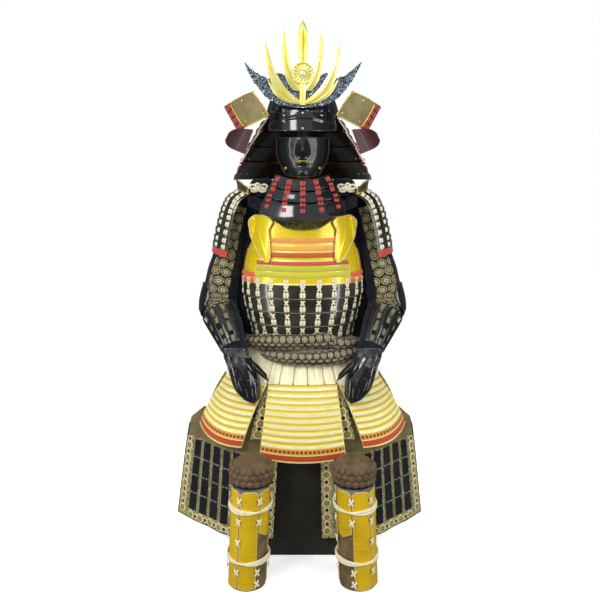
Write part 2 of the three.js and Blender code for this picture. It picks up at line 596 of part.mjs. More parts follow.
const post = new THREE.CylinderGeometry(18, 18, 1466 - CHEST.height - SEAM, 12);
post.rotateX(Math.PI / 2);
post.translate(0, AXIS_Y, (1466 + CHEST.height + SEAM) / 2);
const crown = new THREE.CylinderGeometry(46, 60, 30, 16);
crown.rotateX(Math.PI / 2);
crown.translate(0, AXIS_Y, 1462);
add('stand', joined([
  post,
  crown,
  box(140, 130, 16, 0, AXIS_Y, CHEST.height + SEAM),
  box(270, 34, 26, 0, AXIS_Y, 1108),
  box(24, 118, 20, 0, AXIS_Y - 59, 1262),
]), 'wood', 0, 0.7);

export default group;
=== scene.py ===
import json
import math
import bpy
import numpy as np
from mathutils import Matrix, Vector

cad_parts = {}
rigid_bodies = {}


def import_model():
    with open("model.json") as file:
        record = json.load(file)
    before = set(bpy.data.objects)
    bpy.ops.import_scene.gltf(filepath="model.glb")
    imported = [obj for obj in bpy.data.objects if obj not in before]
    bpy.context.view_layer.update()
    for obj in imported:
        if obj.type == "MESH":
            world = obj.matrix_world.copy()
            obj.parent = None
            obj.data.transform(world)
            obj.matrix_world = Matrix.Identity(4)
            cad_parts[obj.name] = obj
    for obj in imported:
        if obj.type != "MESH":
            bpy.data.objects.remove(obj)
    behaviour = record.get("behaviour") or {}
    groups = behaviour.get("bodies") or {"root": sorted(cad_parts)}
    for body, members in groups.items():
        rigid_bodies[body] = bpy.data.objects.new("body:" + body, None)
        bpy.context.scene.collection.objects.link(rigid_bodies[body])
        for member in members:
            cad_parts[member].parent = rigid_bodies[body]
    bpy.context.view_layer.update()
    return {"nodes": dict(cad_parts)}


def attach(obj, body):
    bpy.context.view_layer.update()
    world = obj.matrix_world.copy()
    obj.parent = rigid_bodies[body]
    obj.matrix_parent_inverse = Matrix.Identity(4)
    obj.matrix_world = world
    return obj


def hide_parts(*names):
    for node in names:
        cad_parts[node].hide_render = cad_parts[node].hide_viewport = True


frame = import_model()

# ---------- viewer, light and floor ----------
# The set stands on a pale studio floor, lit by one broad soft lamp from the upper left, a weaker one
# from the right, and two upright strips that draw long highlights on the lacquer.
def put(name, data):
    """A new object in the scene."""
    made = bpy.data.objects.new(name, data)
    bpy.context.scene.collection.objects.link(made)
    return made


viewer = bpy.data.cameras.new("viewer")
viewer.lens, viewer.sensor_width = 42.6, 36
stand_point = put("viewer", viewer)
stand_point.location, stand_point.rotation_euler = (-0.008, -2.2, 1.21), (math.radians(80), 0, 0)
bpy.context.scene.camera = stand_point
bpy.context.scene.view_settings.view_transform = "Standard"

for name, place, aim, width, height, power in (
    ("soft key", (-1.6, -2.4, 2.6), (0, 0, 0.9), 1.0, 1.0, 40),
    ("soft fill", (1.9, -2.0, 1.7), (0, 0, 0.8), 1.0, 1.4, 18),
    ("strip left", (-1.5, -0.9, 1.0), (0, 0, 0.9), 0.12, 1.8, 9),
    ("strip right", (1.5, -0.9, 1.0), (0, 0, 0.9), 0.12, 1.8, 9),
    ("back top", (0, 1.9, 2.4), (0, 0, 0.9), 1.8, 1.2, 26),
):
    lamp = bpy.data.lights.new(name, "AREA")
    lamp.shape, lamp.size, lamp.size_y, lamp.energy = "RECTANGLE", width, height, power
    lamp_object, way = put(name, lamp), Vector(aim) - Vector(place)
    lamp_object.location, lamp_object.rotation_euler = place, way.to_track_quat("-Z", "Y").to_euler()
ceiling = bpy.data.lights.new("even ceiling light", "SUN")
ceiling.energy, ceiling.angle = 0.9, math.radians(100)
put("even ceiling light", ceiling).rotation_euler = (math.radians(28), math.radians(-14), 0)


class Wiring:
    """Adds nodes to one tree. Inputs are numbers, colours or other nodes' sockets."""

    def __init__(self, tree):
        self.tree = tree

    def node(self, kind, inputs=None, out=0, **settings):
        made = self.tree.nodes.new(kind)
        for key, value in settings.items():
            setattr(made, key, value)
        for key, value in (inputs or {}).items():
            if isinstance(value, bpy.types.NodeSocket):
                self.tree.links.new(value, made.inputs[key])
            else:
                made.inputs[key].default_value = value
        return made if out is None else made.outputs[out]

    def calc(self, operation, *values):
        return self.node("ShaderNodeMath", dict(enumerate(values)), operation=operation)

    def times(self, a, b):
        return self.calc("MULTIPLY", a, b)

    def plus(self, a, b):
        return self.calc("ADD", a, b)

    def from_middle(self, value, pitch):
        """The value cut into lengths of one pitch: how far it is from the middle of its length."""
        share = self.calc("FRACT", self.calc("DIVIDE", value, pitch))
        return self.calc("ABSOLUTE", self.calc("SUBTRACT", share, 0.5))

    def mix(self, share, a, b):
        a, b = [(*c, 1.0) if isinstance(c, tuple) else c for c in (a, b)]
        return self.node("ShaderNodeMix", {0: share, 6: a, 7: b}, out=2, data_type="RGBA")

    def step(self, value, low, high):
        """0 below low, 1 above high, a soft slope between them."""
        return self.node("ShaderNodeMapRange", {0: value, 1: low, 2: high, 3: 0.0, 4: 1.0},
                interpolation_type="SMOOTHSTEP")

    def noise(self, place, scale, detail=2.0):
        return self.node("ShaderNodeTexNoise", {"Vector": place, "Scale": scale, "Detail": detail,
                "Roughness": 0.55})

    def bump(self, height, strength=0.4, distance=0.001):
        return self.node("ShaderNodeBump", {"Height": height, "Strength": strength, "Distance": distance})


world = bpy.data.worlds.new("studio")
bpy.context.scene.world = world
world.use_nodes = True
room = Wiring(world.node_tree)
rays = room.node("ShaderNodeLightPath", out=None).outputs
backdrop = world.node_tree.nodes["Background"]
# A white room to look at, a dimmer one to light the set, and a dark one to mirror in its lacquer.
ambient = room.calc("MULTIPLY_ADD", rays["Is Glossy Ray"], -0.2, 0.34)
room.tree.links.new(room.calc("MULTIPLY_ADD", rays["Is Camera Ray"], 0.68, ambient),
        backdrop.inputs["Strength"])
backdrop.inputs["Color"].default_value = (0.97, 0.98, 1.0, 1.0)

floor_mesh = bpy.data.meshes.new("studio_floor")
floor_mesh.from_pydata([(-9, -6, 0), (9, -6, 0), (9, 12, 0), (-9, 12, 0)], [], [(0, 1, 2, 3)])
floor = put("studio_floor", floor_mesh)
floor_paint = bpy.data.materials.new("pale floor")
floor_paint.use_nodes = True
paint = Wiring(floor_paint.node_tree)
spot = paint.noise(paint.node("ShaderNodeTexCoord", out="Object"), 3.0)
floor_shader = floor_paint.node_tree.nodes["Principled BSDF"]
floor_paint.node_tree.links.new(
    paint.mix(spot, (0.9, 0.9, 0.9), (0.93, 0.93, 0.93)), floor_shader.inputs["Base Color"])
floor_shader.inputs["Roughness"].default_value = 0.7
floor_shader.inputs["Emission Color"].default_value = (0.97, 0.98, 1.0, 1.0)
floor_shader.inputs["Emission Strength"].default_value = 0.52
floor.visible_glossy = floor.visible_diffuse = False
floor_mesh.materials.append(floor_paint)

# ---------- helmet bowl ----------
# A ridged iron bowl of many narrow plates, riveted together and lacquered black, with a gilt ring
# of petals round the small hole at its crown and a band with rivets round its foot.
MM = 0.001
AXIS_Y = 92                       # middle of helmet, torso and stand, front to back


def smooth(value, keys, values):
    """A smooth curve through a table's rows, the keys rising."""
    keys, values = np.asarray(keys, float), np.asarray(values, float)
    slope = np.gradient(values, keys)
    i = np.clip(np.searchsorted(keys, value) - 1, 0, len(keys) - 2)
    h = keys[i + 1] - keys[i]
    t = np.clip((value - keys[i]) / h, 0, 1)
    return ((1 + 2 * t) * (1 - t) ** 2 * values[i] + t * (1 - t) ** 2 * h * slope[i]
            + t * t * (3 - 2 * t) * values[i + 1] + t * t * (t - 1) * h * slope[i + 1])


def ring_point(angle, z, half_width, half_depth, centre_y=AXIS_Y):
    """A point of an upright ellipse in millimetres, the angle counted from the front towards +X."""
    a = np.radians(angle)
    return np.stack(np.broadcast_arrays(half_width * np.sin(a), centre_y - half_depth * np.cos(a), z), -1)


def unit(vectors):
    return vectors / np.maximum(np.linalg.norm(vectors, axis=-1, keepdims=True), 1e-9)


def distances(path):
    """How far each point of a path is from its start."""
    return np.concatenate([[0], np.cumsum(np.linalg.norm(np.diff(path, axis=0), axis=1))])


def make_object(name, points, faces, finish, uv=None, border=None, smooth_angle=40):
    """A mesh object from points in millimetres, its UV map in metres and its distance to the border."""
    mesh = bpy.data.meshes.new(name)
    mesh.from_pydata((np.asarray(points, float) * MM).tolist(), [], np.asarray(faces).tolist()
            if isinstance(faces, np.ndarray) else faces)
    if uv is not None:
        layer = mesh.uv_layers.new(name="UVMap")
        layer.data.foreach_set("uv", np.asarray(uv, np.float32).ravel())
    if border is not None:
        kept = mesh.attributes.new("border", "FLOAT", "POINT")
        kept.data.foreach_set("value", np.asarray(border, np.float32).ravel())
    mesh.polygons.foreach_set("use_smooth", [True] * len(mesh.polygons))
    mesh.set_sharp_from_angle(angle=math.radians(smooth_angle))
    mesh.validate()
    if finish is not None:
        mesh.materials.append(finish)
    return put(name, mesh)


def shell(name, point, columns, rows, thick, finish, closed=False, mirrored=False, rounded=0.0,
        smooth_angle=40):
    """A wall behind the surface point(u, v), in millimetres, u to the right and v up seen from outside."""
    u, v = np.meshgrid(np.linspace(0, 1, columns + 1), np.linspace(0, 1, rows + 1))
    front = np.array(point(u, v), float)
    if closed:
        wide = np.concatenate([front[:, -2:-1], front, front[:, 1:2]], 1)
        du = wide[:, 2:] - wide[:, :-2]
    else:
        du = np.gradient(front, axis=1)
    normal = unit(np.cross(du, np.gradient(front, axis=0)))
    layers = np.stack([front, front - thick * normal])
    along, up = distances(front[rows // 2]) * MM, distances(front[:, columns // 2]) * MM
    across = columns if closed else columns + 1
    ids = np.arange(2 * (rows + 1) * across).reshape(2, rows + 1, across)
    ids = ids[:, :, np.arange(columns + 1) % across]
    j, i = np.mgrid[0:rows, 0:columns].reshape(2, -1)
    r, c, end = np.arange(rows), np.arange(columns), columns
    runs = [((0, j, i), (0, j, i + 1), (0, j + 1, i + 1), (0, j + 1, i)),
            ((1, j + 1, i), (1, j + 1, i + 1), (1, j, i + 1), (1, j, i)),
            ((0, 0, c + 1), (0, 0, c), (1, 0, c), (1, 0, c + 1)),
            ((0, rows, c), (0, rows, c + 1), (1, rows, c + 1), (1, rows, c))]
    if not closed:
        runs += [((0, r, 0), (0, r + 1, 0), (1, r + 1, 0), (1, r, 0)), ((0, r + 1, end), (0, r, end),
                (1, r, end), (1, r + 1, end))]
    corners = [np.stack([np.stack(np.broadcast_arrays(*spot), -1) for spot in run], 1) for run in runs]
    layer, row, column = np.concatenate(corners).transpose(2, 0, 1)
    faces, uv = ids[layer, row, column], np.stack([along[column], up[row]], -1)
    points = layers[:, :, :across].reshape(-1, 3)
    side = np.full(len(along), 1.0) if closed else np.minimum(along, along[-1] - along)
    border = np.minimum(side[None, :across], np.minimum(up, up[-1] - up)[:, None])
    if mirrored:
        points = points * (-1, 1, 1)
        faces, uv = faces[:, ::-1], uv[:, ::-1]
    made = make_object(name, points, faces, finish, uv, np.stack([border, border]), smooth_angle)
    if rounded:
        edge = made.modifiers.new("rounded edge", "BEVEL")
        edge.width, edge.segments, edge.limit_method = rounded * MM, 2, "ANGLE"
        edge.angle_limit = math.radians(50)
    return made


def skin(name, rings, length, girths, finish, closed=False, mirrored=False, pitch=0.0, along_first=False):
    """A skin over rings of points, its ends capped. UV: round each ring, then along, or the other way."""
    count, sides = rings.shape[:2]
    points, faces, uv = rings.reshape(-1, 3), [], []
    for k in range(count if closed else count - 1):
        low, high, girth = k * sides, ((k + 1) % count) * sides, girths[k] * MM
        here, there = length[k] * MM, (length[k + 1] if k + 1 < count else length[k] + pitch) * MM
        for s in range(sides):
            n = (s + 1) % sides
            faces.append((low + s, high + s, high + n, low + n))
            uv += [(girth * s / sides, here), (girth * s / sides, there), (girth * (s + 1) / sides, there),
                   (girth * (s + 1) / sides, here)]
    if not closed:
        faces += [tuple(range(sides)), tuple(range((count - 1) * sides, count * sides))[::-1]]
        uv += [(0, 0)] * (2 * sides)
    if mirrored:
        points, faces = points * (-1, 1, 1), [f[::-1] for f in faces]
    if along_first:
        uv = [(y, x) for x, y in uv]
    return make_object(name, points, faces, finish, uv, None, 80 if along_first else 60)


def tube(name, path, radius, finish, sides=8, closed=False, lobes=0, pitch=12.0, mirrored=False):
    """A cord, rim or pipe along a path in millimetres. lobes twist round it, one turn every pitch."""
    path = np.asarray(path, float)
    radius = np.broadcast_to(np.asarray(radius, float), len(path))
    tangent = unit(np.roll(path, -1, 0) - np.roll(path, 1, 0) if closed else np.gradient(path, axis=0))
    side = np.cross(tangent[0], (0, 0, 1))
    if np.linalg.norm(side) < 0.1:
        side = np.cross(tangent[0], (0, 1, 0))
    length, turn = distances(path), np.linspace(0, 2 * np.pi, sides, endpoint=False)
    rings = []
    for k, t in enumerate(tangent):
        side = side - t * np.dot(side, t)
        side = side / np.linalg.norm(side)
        r = radius[k] * np.ones(sides)
        if lobes:
            r = r * (0.82 + 0.36 * np.abs(np.cos(lobes / 2 * (turn - 2 * np.pi * length[k] / pitch))))
        up = np.cross(side, t)
        rings.append(path[k] + (r * np.cos(turn))[:, None] * side + (r * np.sin(turn))[:, None] * up)
    return skin(name, np.array(rings), length, 2 * np.pi * radius, finish, closed, mirrored, pitch)


def join(name, pieces):
    """Several objects as one, with their materials and UV maps."""
    for p in pieces:
        if p.modifiers:
            bpy.context.view_layer.update()
            done = bpy.data.meshes.new_from_object(p.evaluated_get(bpy.context.evaluated_depsgraph_get()))
            p.modifiers.clear()
            p.data = done
    with bpy.context.temp_override(active_object=pieces[0], selected_editable_objects=pieces,
            object=pieces[0], selected_objects=pieces):
        if len(pieces) > 1:
            bpy.ops.object.join()
    pieces[0].name = name
    pieces[0].data.name = name
    return pieces[0]


def fit(piece, slot, *nodes):
    """The piece rides on the standing set and stands for its solids. slot is not used."""
    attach(piece, "root")
    if nodes:
        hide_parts(*nodes)
    return piece


def new_group(name, inputs, outputs, kind="ShaderNodeTree"):
    """A node group with named inputs and outputs (label, kind, value), and what its inputs give."""
    tree = bpy.data.node_groups.new(name, kind)
    for way, rows in (("INPUT", inputs), ("OUTPUT", outputs)):
        for label, sort, value in rows:
            socket = tree.interface.new_socket(label, in_out=way, socket_type="NodeSocket" + sort)
            if value is not None:
                socket.default_value = value
    w = Wiring(tree)
    return tree, w, w.node("NodeGroupInput", out=None).outputs


def build_wear_group():
    """Cloud: broad shade. Grain: fine roughness. Edge: a rim from the distance to the border, for rubbed
    wear and, on the waist lames, a painted highlight.
    """
    tree, w, given = new_group(
        "wear", (("Place", "Vector", None), ("Border", "Float", 1.0), ("Cloud scale", "Float", 9.0),
                 ("Grain scale", "Float", 700.0), ("Edge width", "Float", 0.0015)),
        [(label, "Float", None) for label in ("Cloud", "Grain", "Edge")])
    place, border = given["Place"], given["Border"]
    ragged = w.times(w.noise(place, 160.0, 3.0), w.times(given["Edge width"], 2.0))
    w.node("NodeGroupOutput", {"Cloud": w.noise(place, given["Cloud scale"], 4.0),
            "Grain": w.noise(place, given["Grain scale"]),
            "Edge": w.step(w.calc("SUBTRACT", ragged, border), 0.0, 0.0006)}, out=None)
    return tree


WEAR = build_wear_group()


class Finish(Wiring):
    """One material: its Principled shader, object and UV coordinates, and the wear group."""

    def __init__(self, name, cloud=9.0, grain=700.0, edge=0.0015):
        self.material = bpy.data.materials.new(name)
        self.material.use_nodes = True
        super().__init__(self.material.node_tree)
        self.shader = self.tree.nodes["Principled BSDF"]
        where = self.node("ShaderNodeTexCoord", out=None)
        self.place, self.uv = where.outputs["Object"], where.outputs["UV"]
        border = self.node("ShaderNodeAttribute", out=None, attribute_name="border").outputs["Fac"]
        wear_and_highlight = self.node("ShaderNodeGroup", {"Place": self.place, "Border": border, "Cloud scale": cloud,
                "Grain scale": grain, "Edge width": edge}, out=None, node_tree=WEAR)
        self.cloud, self.grain, self.edge = wear_and_highlight.outputs

    def set(self, **values):
        for key, value in values.items():
            socket = self.shader.inputs[key.replace("_", " ")]
            if isinstance(value, bpy.types.NodeSocket):
                self.tree.links.new(value, socket)
            else:
                socket.default_value = value

    def paint(self, colour, rough, height, strength, depth, **more):
        """Colour, roughness from low to high with the grain, and a bump of the height."""
        self.set(Base_Color=colour, Roughness=self.between(self.grain, *rough),
                Normal=self.bump(height, strength, depth), **more)

    def vary(self, dark, light):
        return self.mix(self.step(self.cloud, 0.35, 0.65), dark, light)

    def between(self, value, low, high):
        """Grain turned into a value from low to high."""
        return self.node("ShaderNodeMapRange", {0: value, 1: 0.3, 2: 0.7, 3: low, 4: high})


def plain_finish(name, dark, light, rough, wear_and_highlight=None, metallic=0.0, relief=None, coat=0.0, **wear):
    """Two clouded tones with an edge colour along the edges: rubbed wear, on the waist lames a painted
    highlight. relief: scale (None: grain), strength, depth.
    """
    f = Finish(name, **wear)
    colour = f.vary(dark, light)
    f.set(Base_Color=f.mix(f.edge, colour, wear_and_highlight) if wear_and_highlight else colour, Metallic=metallic,
          Roughness=f.between(f.grain, *rough))
    if relief:
        scale, strength, depth = relief
        f.set(Normal=f.bump(f.noise(f.place, scale) if scale else f.grain, strength, depth))
    if coat:
        f.set(Coat_Weight=coat, Coat_Roughness=0.06)
    return f.material


def lacquer(name, dark, light, wear_and_highlight, rough, coat=0.6, edge=0.0012):
    """Brushed and polished lacquer over a hard ground, rubbed to the ground along its edges; on the waist
    lames the pale edges are a painted highlight.
    """
    return plain_finish(name, dark, light, (rough * 0.7, rough * 1.4), wear_and_highlight, 0.0, (90.0, 0.12, 0.0006),
            coat, edge=edge)


BLACK = lacquer("black lacquer", (0.002, 0.003, 0.004), (0.006, 0.008, 0.009), (0.03, 0.022, 0.014), 0.16)
GILT = plain_finish("gilt brass", (0.75, 0.48, 0.1), (0.92, 0.66, 0.18), (0.2, 0.4), (1, 0.85, 0.45), 1.0,
        (500.0, 0.1, 0.0004), edge=0.0008)

BOWL_RIBS = 28


def bowl_point(u, v):
    lift = np.radians(86) * v
    spread = np.cos(lift) ** 0.8
    away = (u * BOWL_RIBS) % 1 - 0.5
    rib = 2.2 * np.exp(-(away / 0.1) ** 2) * np.clip(v * 8, 0, 1) * spread
    return ring_point(360 * u, 1376 + 120 * np.sin(lift), 112 * spread + rib, 128 * spread + rib)


bowl = shell("bowl", bowl_point, BOWL_RIBS * 8, 20, 2.5, BLACK, closed=True)
band = shell("bowl band", lambda u, v: ring_point(360 * u, 1376 + 13 * v, 114, 130), 96, 2, 1.5, BLACK,
        closed=True, rounded=0.5)


def crown_ring(radius, z, wave=0.0):
    turn = np.linspace(0, 360, 48, endpoint=False)
    r = radius + wave * np.abs(np.sin(np.radians(turn * 4)))
    return ring_point(turn, z, r, r * 1.1)


top_rings = [tube(f"crown ring {k}", crown_ring(r, z, wave), t, GILT, closed=True) for k,
        (r, z, wave, t) in enumerate(((9, 1499, 0, 2.2), (15, 1497, 1.5, 1.8), (21, 1494.5, 3, 1.6)))]


def build_place_tree():
    """Sets one small piece on every point, its Z along "face" and its Y along "up", and makes it real."""
    tree, w, given = new_group("set on places", (("Geometry", "Geometry", None),
            ("Piece", "Object", None), ("Size", "Float", 1.0), ("Play", "Float", 0.0), ("Seed", "Int", 1),
            ("Finish", "Material", None)), (("Geometry", "Geometry", None),), "GeometryNodeTree")
    piece = w.node("GeometryNodeObjectInfo", {"Object": given["Piece"], "As Instance": True},
            out="Geometry")
    read = {key: w.node("GeometryNodeInputNamedAttribute", {"Name": key}, data_type="FLOAT_VECTOR")
            for key in ("face", "up", "scale")}
    level = w.node("FunctionNodeAlignRotationToVector", {"Vector": read["face"]}, axis="Z")
    turned = w.node("FunctionNodeAlignRotationToVector", {"Rotation": level, "Vector": read["up"]},
            axis="Y", pivot_axis="Z")
    size = w.node("ShaderNodeVectorMath", {0: read["scale"], "Scale": given["Size"]}, operation="SCALE")
    placed = w.node("GeometryNodeInstanceOnPoints", {"Points": given["Geometry"], "Instance": piece,
            "Rotation": turned, "Scale": size})
    swing = w.node("FunctionNodeRandomValue", {2: w.times(given["Play"], -1.0), 3: given["Play"],
            "Seed": given["Seed"]}, out=1, data_type="FLOAT")
    nudge = w.node("ShaderNodeCombineXYZ", {"Z": swing})
    rocked = w.node("GeometryNodeRotateInstances", {"Instances": placed, "Rotation": nudge,
            "Local Space": True})
    real = w.node("GeometryNodeRealizeInstances", {"Geometry": rocked})
    done = w.node("GeometryNodeSetMaterial", {"Geometry": real, "Material": given["Finish"]})
    w.node("NodeGroupOutput", {"Geometry": done}, out=None)
    return tree


PLACE_TREE = build_place_tree()


def set_pieces(name, piece, places, finish, size=1.0, play=0.0, seed=1):
    """Copies of a small piece on places (points in mm, faces, ups, scales), as one plain mesh."""
    points, faces, ups, scales = [np.concatenate([place[k] for place in places]) for k in range(4)]
    mesh = bpy.data.meshes.new(name)
    mesh.from_pydata((points * MM).tolist(), [], [])
    for key, values in (("face", faces), ("up", ups), ("scale", scales)):
        mesh.attributes.new(key, "FLOAT_VECTOR", "POINT").data.foreach_set(
            "vector", np.asarray(values, np.float32).ravel())
    made = put(name, mesh)
    setter = made.modifiers.new("set on places", "NODES")
    setter.node_group = PLACE_TREE
    given = {i.name: i.identifier for i in PLACE_TREE.interface.items_tree if i.in_out == "INPUT"}
    for key, value in (("Piece", piece), ("Size", size), ("Play", math.radians(play)), ("Seed", seed),
            ("Finish", finish)):
        setter[given[key]] = value
    bpy.context.view_layer.update()
    plain = bpy.data.meshes.new_from_object(made.evaluated_get(bpy.context.evaluated_depsgraph_get()))
    made.modifiers.remove(setter)
    made.data = plain
    for key in ("face", "up", "scale"):
        if key in plain.attributes:
            plain.attributes.remove(plain.attributes[key])
    plain.materials.clear()
    plain.materials.append(finish)
    return made


def slopes(point, u, v, e=1e-3):
    """The way to the right and the way up on a surface."""
    return (point(np.minimum(u + e, 1), v) - point(np.maximum(u - e, 0), v),
            point(u, np.minimum(v + e, 1)) - point(u, np.maximum(v - e, 0)))


def on_surface(point, u, v, lift=0.0, scale=1.0, mirrored=False, inside=False):
    """Places on a surface point(u, v), lifted off it by millimetres."""
    u, v = [np.asarray(a, float).ravel() for a in np.broadcast_arrays(u, v)]
    along, up = slopes(point, u, v)
    up = unit(up)
    face = unit(np.cross(along, up))
    if inside:
        face = -face
    at = point(u, v) + face * lift
    scales = np.broadcast_to(scale, at.shape)
    if mirrored:
        at, face, up = [a * (-1, 1, 1) for a in (at, face, up)]
    return at, face, up, scales


def dome(name, radius, height, sides=10, rings=3, turned=0.0):
    """A round rivet or boss, in millimetres, sitting on z = 0."""
    lift = np.linspace(0, np.pi / 2, rings + 1)[:-1]
    turn = turned + np.linspace(0, 2 * np.pi, sides, endpoint=False)
    points = [(radius * np.cos(a) * np.cos(t), radius * np.cos(a) * np.sin(t), height * np.sin(a))
            for a in lift for t in turn] + [(0, 0, height)]
    faces = [(k * sides + s, k * sides + (s + 1) % sides, (k + 1) * sides + (s + 1) % sides,
            (k + 1) * sides + s) for k in range(rings - 1) for s in range(sides)]
    faces += [((rings - 1) * sides + s, (rings - 1) * sides + (s + 1) % sides, rings * sides)
            for s in range(sides)]
    faces.append(tuple(range(sides))[::-1])
    uv = np.array([points[k][:2] for face in faces for k in face]) * MM
    return make_object(name, points, faces, None, uv, None, 70)


RIVET = dome("rivet", 3.0, 1.8)
spaced = (np.arange(BOWL_RIBS) + 0.5) / BOWL_RIBS
bowl_rivets = set_pieces("bowl rivets", RIVET, [on_surface(bowl_point, spaced, 0.055, 1.2)], BLACK, 0.9)
fit(join("helmet_bowl", [bowl, band, bowl_rivets]), "black_lacquer", "kabuto_bowl")
fit(join("helmet_crown_ring", top_rings), "gilt_brass")

# ---------- helmet brim ----------
# The brim is one forged plate that dips over the brow, with a rolled rim, a raised brow line and
# three silvered rivets at its middle.
def runs_of(point, *runs):
    """The points of a surface along straight runs (u0, v0, u1, v1, steps), one after another."""
    return np.concatenate([point(np.linspace(u0, u1, n), np.linspace(v0, v1, n)) for u0, v0, u1, v1,
            n in runs])


def brim_point(u, v):
    angle = -56 + 112 * u
    brow = 2.0 * np.exp(-((v - 0.42 - 0.3 * np.cos(np.radians(angle * 2.2))) / 0.07) ** 2)
    return ring_point(angle, 1338 + 55 * v + 6 * np.sin(np.radians(angle)) ** 2, 122 - 6 * v + brow,
            148 - 14 * v + brow)


brim = shell("brim", brim_point, 80, 26, 2.5, BLACK, rounded=0.5)
brim_edge = runs_of(brim_point, (0, 1, 0, 0.04, 12), (0, 0, 1, 0, 60), (1, 0.04, 1, 1, 12))
brim_rim = tube("brim rim", brim_edge, 2.1, BLACK)
SILVER = plain_finish("silvered rivet", (0.5, 0.5, 0.5), (0.75, 0.75, 0.72), (0.2, 0.4), metallic=1.0,
        edge=0.0)
brim_rivets = set_pieces("brim rivets", RIVET,
        [on_surface(brim_point, (0.5, 0.5, 0.24, 0.76), (0.95, 0.12, 0.8, 0.8), 0.6, 1.3)], SILVER)
fit(join("helmet_brim", [brim, brim_rim]), "black_lacquer", "kabuto_brim")
fit(join("helmet_brim_rivets", [brim_rivets]), "gilt_brass")

# ---------- crest plate ----------
# A broad crescent of dark patinated steel in front of the bowl, chased all over with small cloud
# scrolls, so that its upper edge is lumpy; pale specks painted over its face stand in for glints.
def bezier(a, b, c, steps=24):
    t = np.linspace(0, 1, steps)[:, None]
    return (1 - t) ** 2 * np.array(a) + 2 * t * (1 - t) * np.array(b) + t * t * np.array(c)


CREST_Y = -44
lower_edge = np.concatenate([bezier((0, 1404), (84, 1404), (118, 1446)), bezier((118, 1446), (150, 1484),
        (171, 1534))[1:]])
upper_edge = np.concatenate([bezier((0, 1500), (30, 1516), (56, 1496)), bezier((56, 1496), (78, 1508),
        (100, 1486))[1:], bezier((100, 1486), (136, 1496), (171, 1534))[1:]])
scroll_seeds = np.random.default_rng(7).uniform((-175, 1400), (175, 1536), (620, 2))


def crest_plate_point(u, v):
    x = 170.5 * np.sin(np.radians(90 * (2 * u - 1)))
    low = np.interp(np.abs(x), lower_edge[:, 0], lower_edge[:, 1])
    high = np.interp(np.abs(x), upper_edge[:, 0], upper_edge[:, 1])
    z = low + (high - low) * v
    near = np.full(x.shape, 1e9)
    for sx, sz in scroll_seeds:
        near = np.minimum(near, (x - sx) ** 2 + (z - sz) ** 2)
    scroll = np.clip(1 - near / 30, 0, 1)
    z = z + 2.2 * scroll * np.clip(v * 6 - 5, 0, 1) * (high - low > 6)
    return np.stack([x, CREST_Y - 3.4 * scroll ** 0.7, z], -1)


f = Finish("patinated steel", cloud=60.0, edge=0.0)
# Pale blue-grey specks painted over the dark steel are painted glints; the same noise raises a fine relief.
painted_glint_specks = f.noise(f.place, 380.0, 3.0)
f.paint(f.mix(f.step(painted_glint_specks, 0.5, 0.62), f.vary((0.02, 0.035, 0.055), (0.06, 0.09, 0.12)),
        (0.55, 0.62, 0.68)), (0.25, 0.5), painted_glint_specks, 0.6, 0.0012, Metallic=0.85)
STEEL = f.material
fit(shell("crest_plate", crest_plate_point, 260, 36, 4, STEEL, smooth_angle=60), "patinated_steel",
    "crest_base")

# ---------- gilt crest ----------
# An upright leaf-shaped blade between three pairs of curved fronds, with a rayed disc in front of
# its foot: cut from sheet brass, dished, and gilt.
CREST = plain_finish("bright gilt", (0.86, 0.72, 0.06), (0.95, 0.86, 0.3), (0.24, 0.4), (1.0, 0.95, 0.62),
        0.55, (260.0, 0.12, 0.0004), cloud=14.0, edge=0.001)


def leaf_between(left, right, rise, back=CREST_Y - 4.4):
    """A dished leaf between two edges [x, z] that run from its foot to its tip, rims rolled forward."""
    def point(u, v):
        steps = np.arange(len(left))
        a, b = [np.stack([np.interp(v * steps[-1], steps, edge[:, k]) for k in (0, 1)], -1)
                for edge in (left, right)]
        p = a + (b - a) * u[..., None]
        wide = np.linalg.norm(b - a, axis=-1)
        crown = rise * np.clip(wide / 16, 0, 1) * (1 - np.abs(2 * u - 1) ** 1.5)
        return np.stack([p[..., 0], back - crown, p[..., 1]], -1)
    return point


leaves = []
blade_rows = np.array([(1412, 9), (1456, 9.5), (1500, 10), (1545, 13.5), (1590, 17), (1615, 14.5),
        (1634, 8.5), (1649.5, 0.4)])
blade_z = np.linspace(1412, 1649.5, 60)
blade_half = np.interp(blade_z, blade_rows[:, 0], blade_rows[:, 1])
leaves.append(shell("blade", leaf_between(np.stack([-blade_half, blade_z], -1),
        np.stack([blade_half, blade_z], -1), 5.0), 12, 60, 2.4, CREST))
for side in (1, -1):
    for k, (foot, bend, tip, width) in enumerate((((14, 1418), (98, 1452), (108, 1596), 34),
            ((10, 1452), (62, 1500), (52, 1632), 28), ((8, 1414), (70, 1420), (104, 1486), 22))):
        inner = bezier((foot[0] - width / 2, foot[1]), (bend[0] - width / 2, bend[1] + width / 4), tip, 40)
        outer = bezier((foot[0] + width / 2, foot[1]), (bend[0] + width / 2, bend[1] - width / 4), tip, 40)
        inner[-1, 0] -= 0.3
        outer[-1, 0] += 0.3
        leaves.append(shell(f"frond {k} {side}", leaf_between(inner, outer, 3.4, CREST_Y - 4.2 - 0.3 * k),
                10, 40, 2.2, CREST, mirrored=side < 0))


def disc_point(u, v):
    turn = 2 * np.pi * u
    ray = 0.8 * np.cos(16 * turn) * np.sin(np.pi * np.clip(v * 1.6, 0, 1))
    rim = 2.2 * np.exp(-((v - 0.06) / 0.07) ** 2)
    r = 31 * (1 - v) + 0.3
    y = CREST_Y - 8.0 - 2.5 * v * (2 - v) - ray - rim
    return np.stack([r * np.cos(turn), y, 1500 + r * np.sin(turn)], -1)


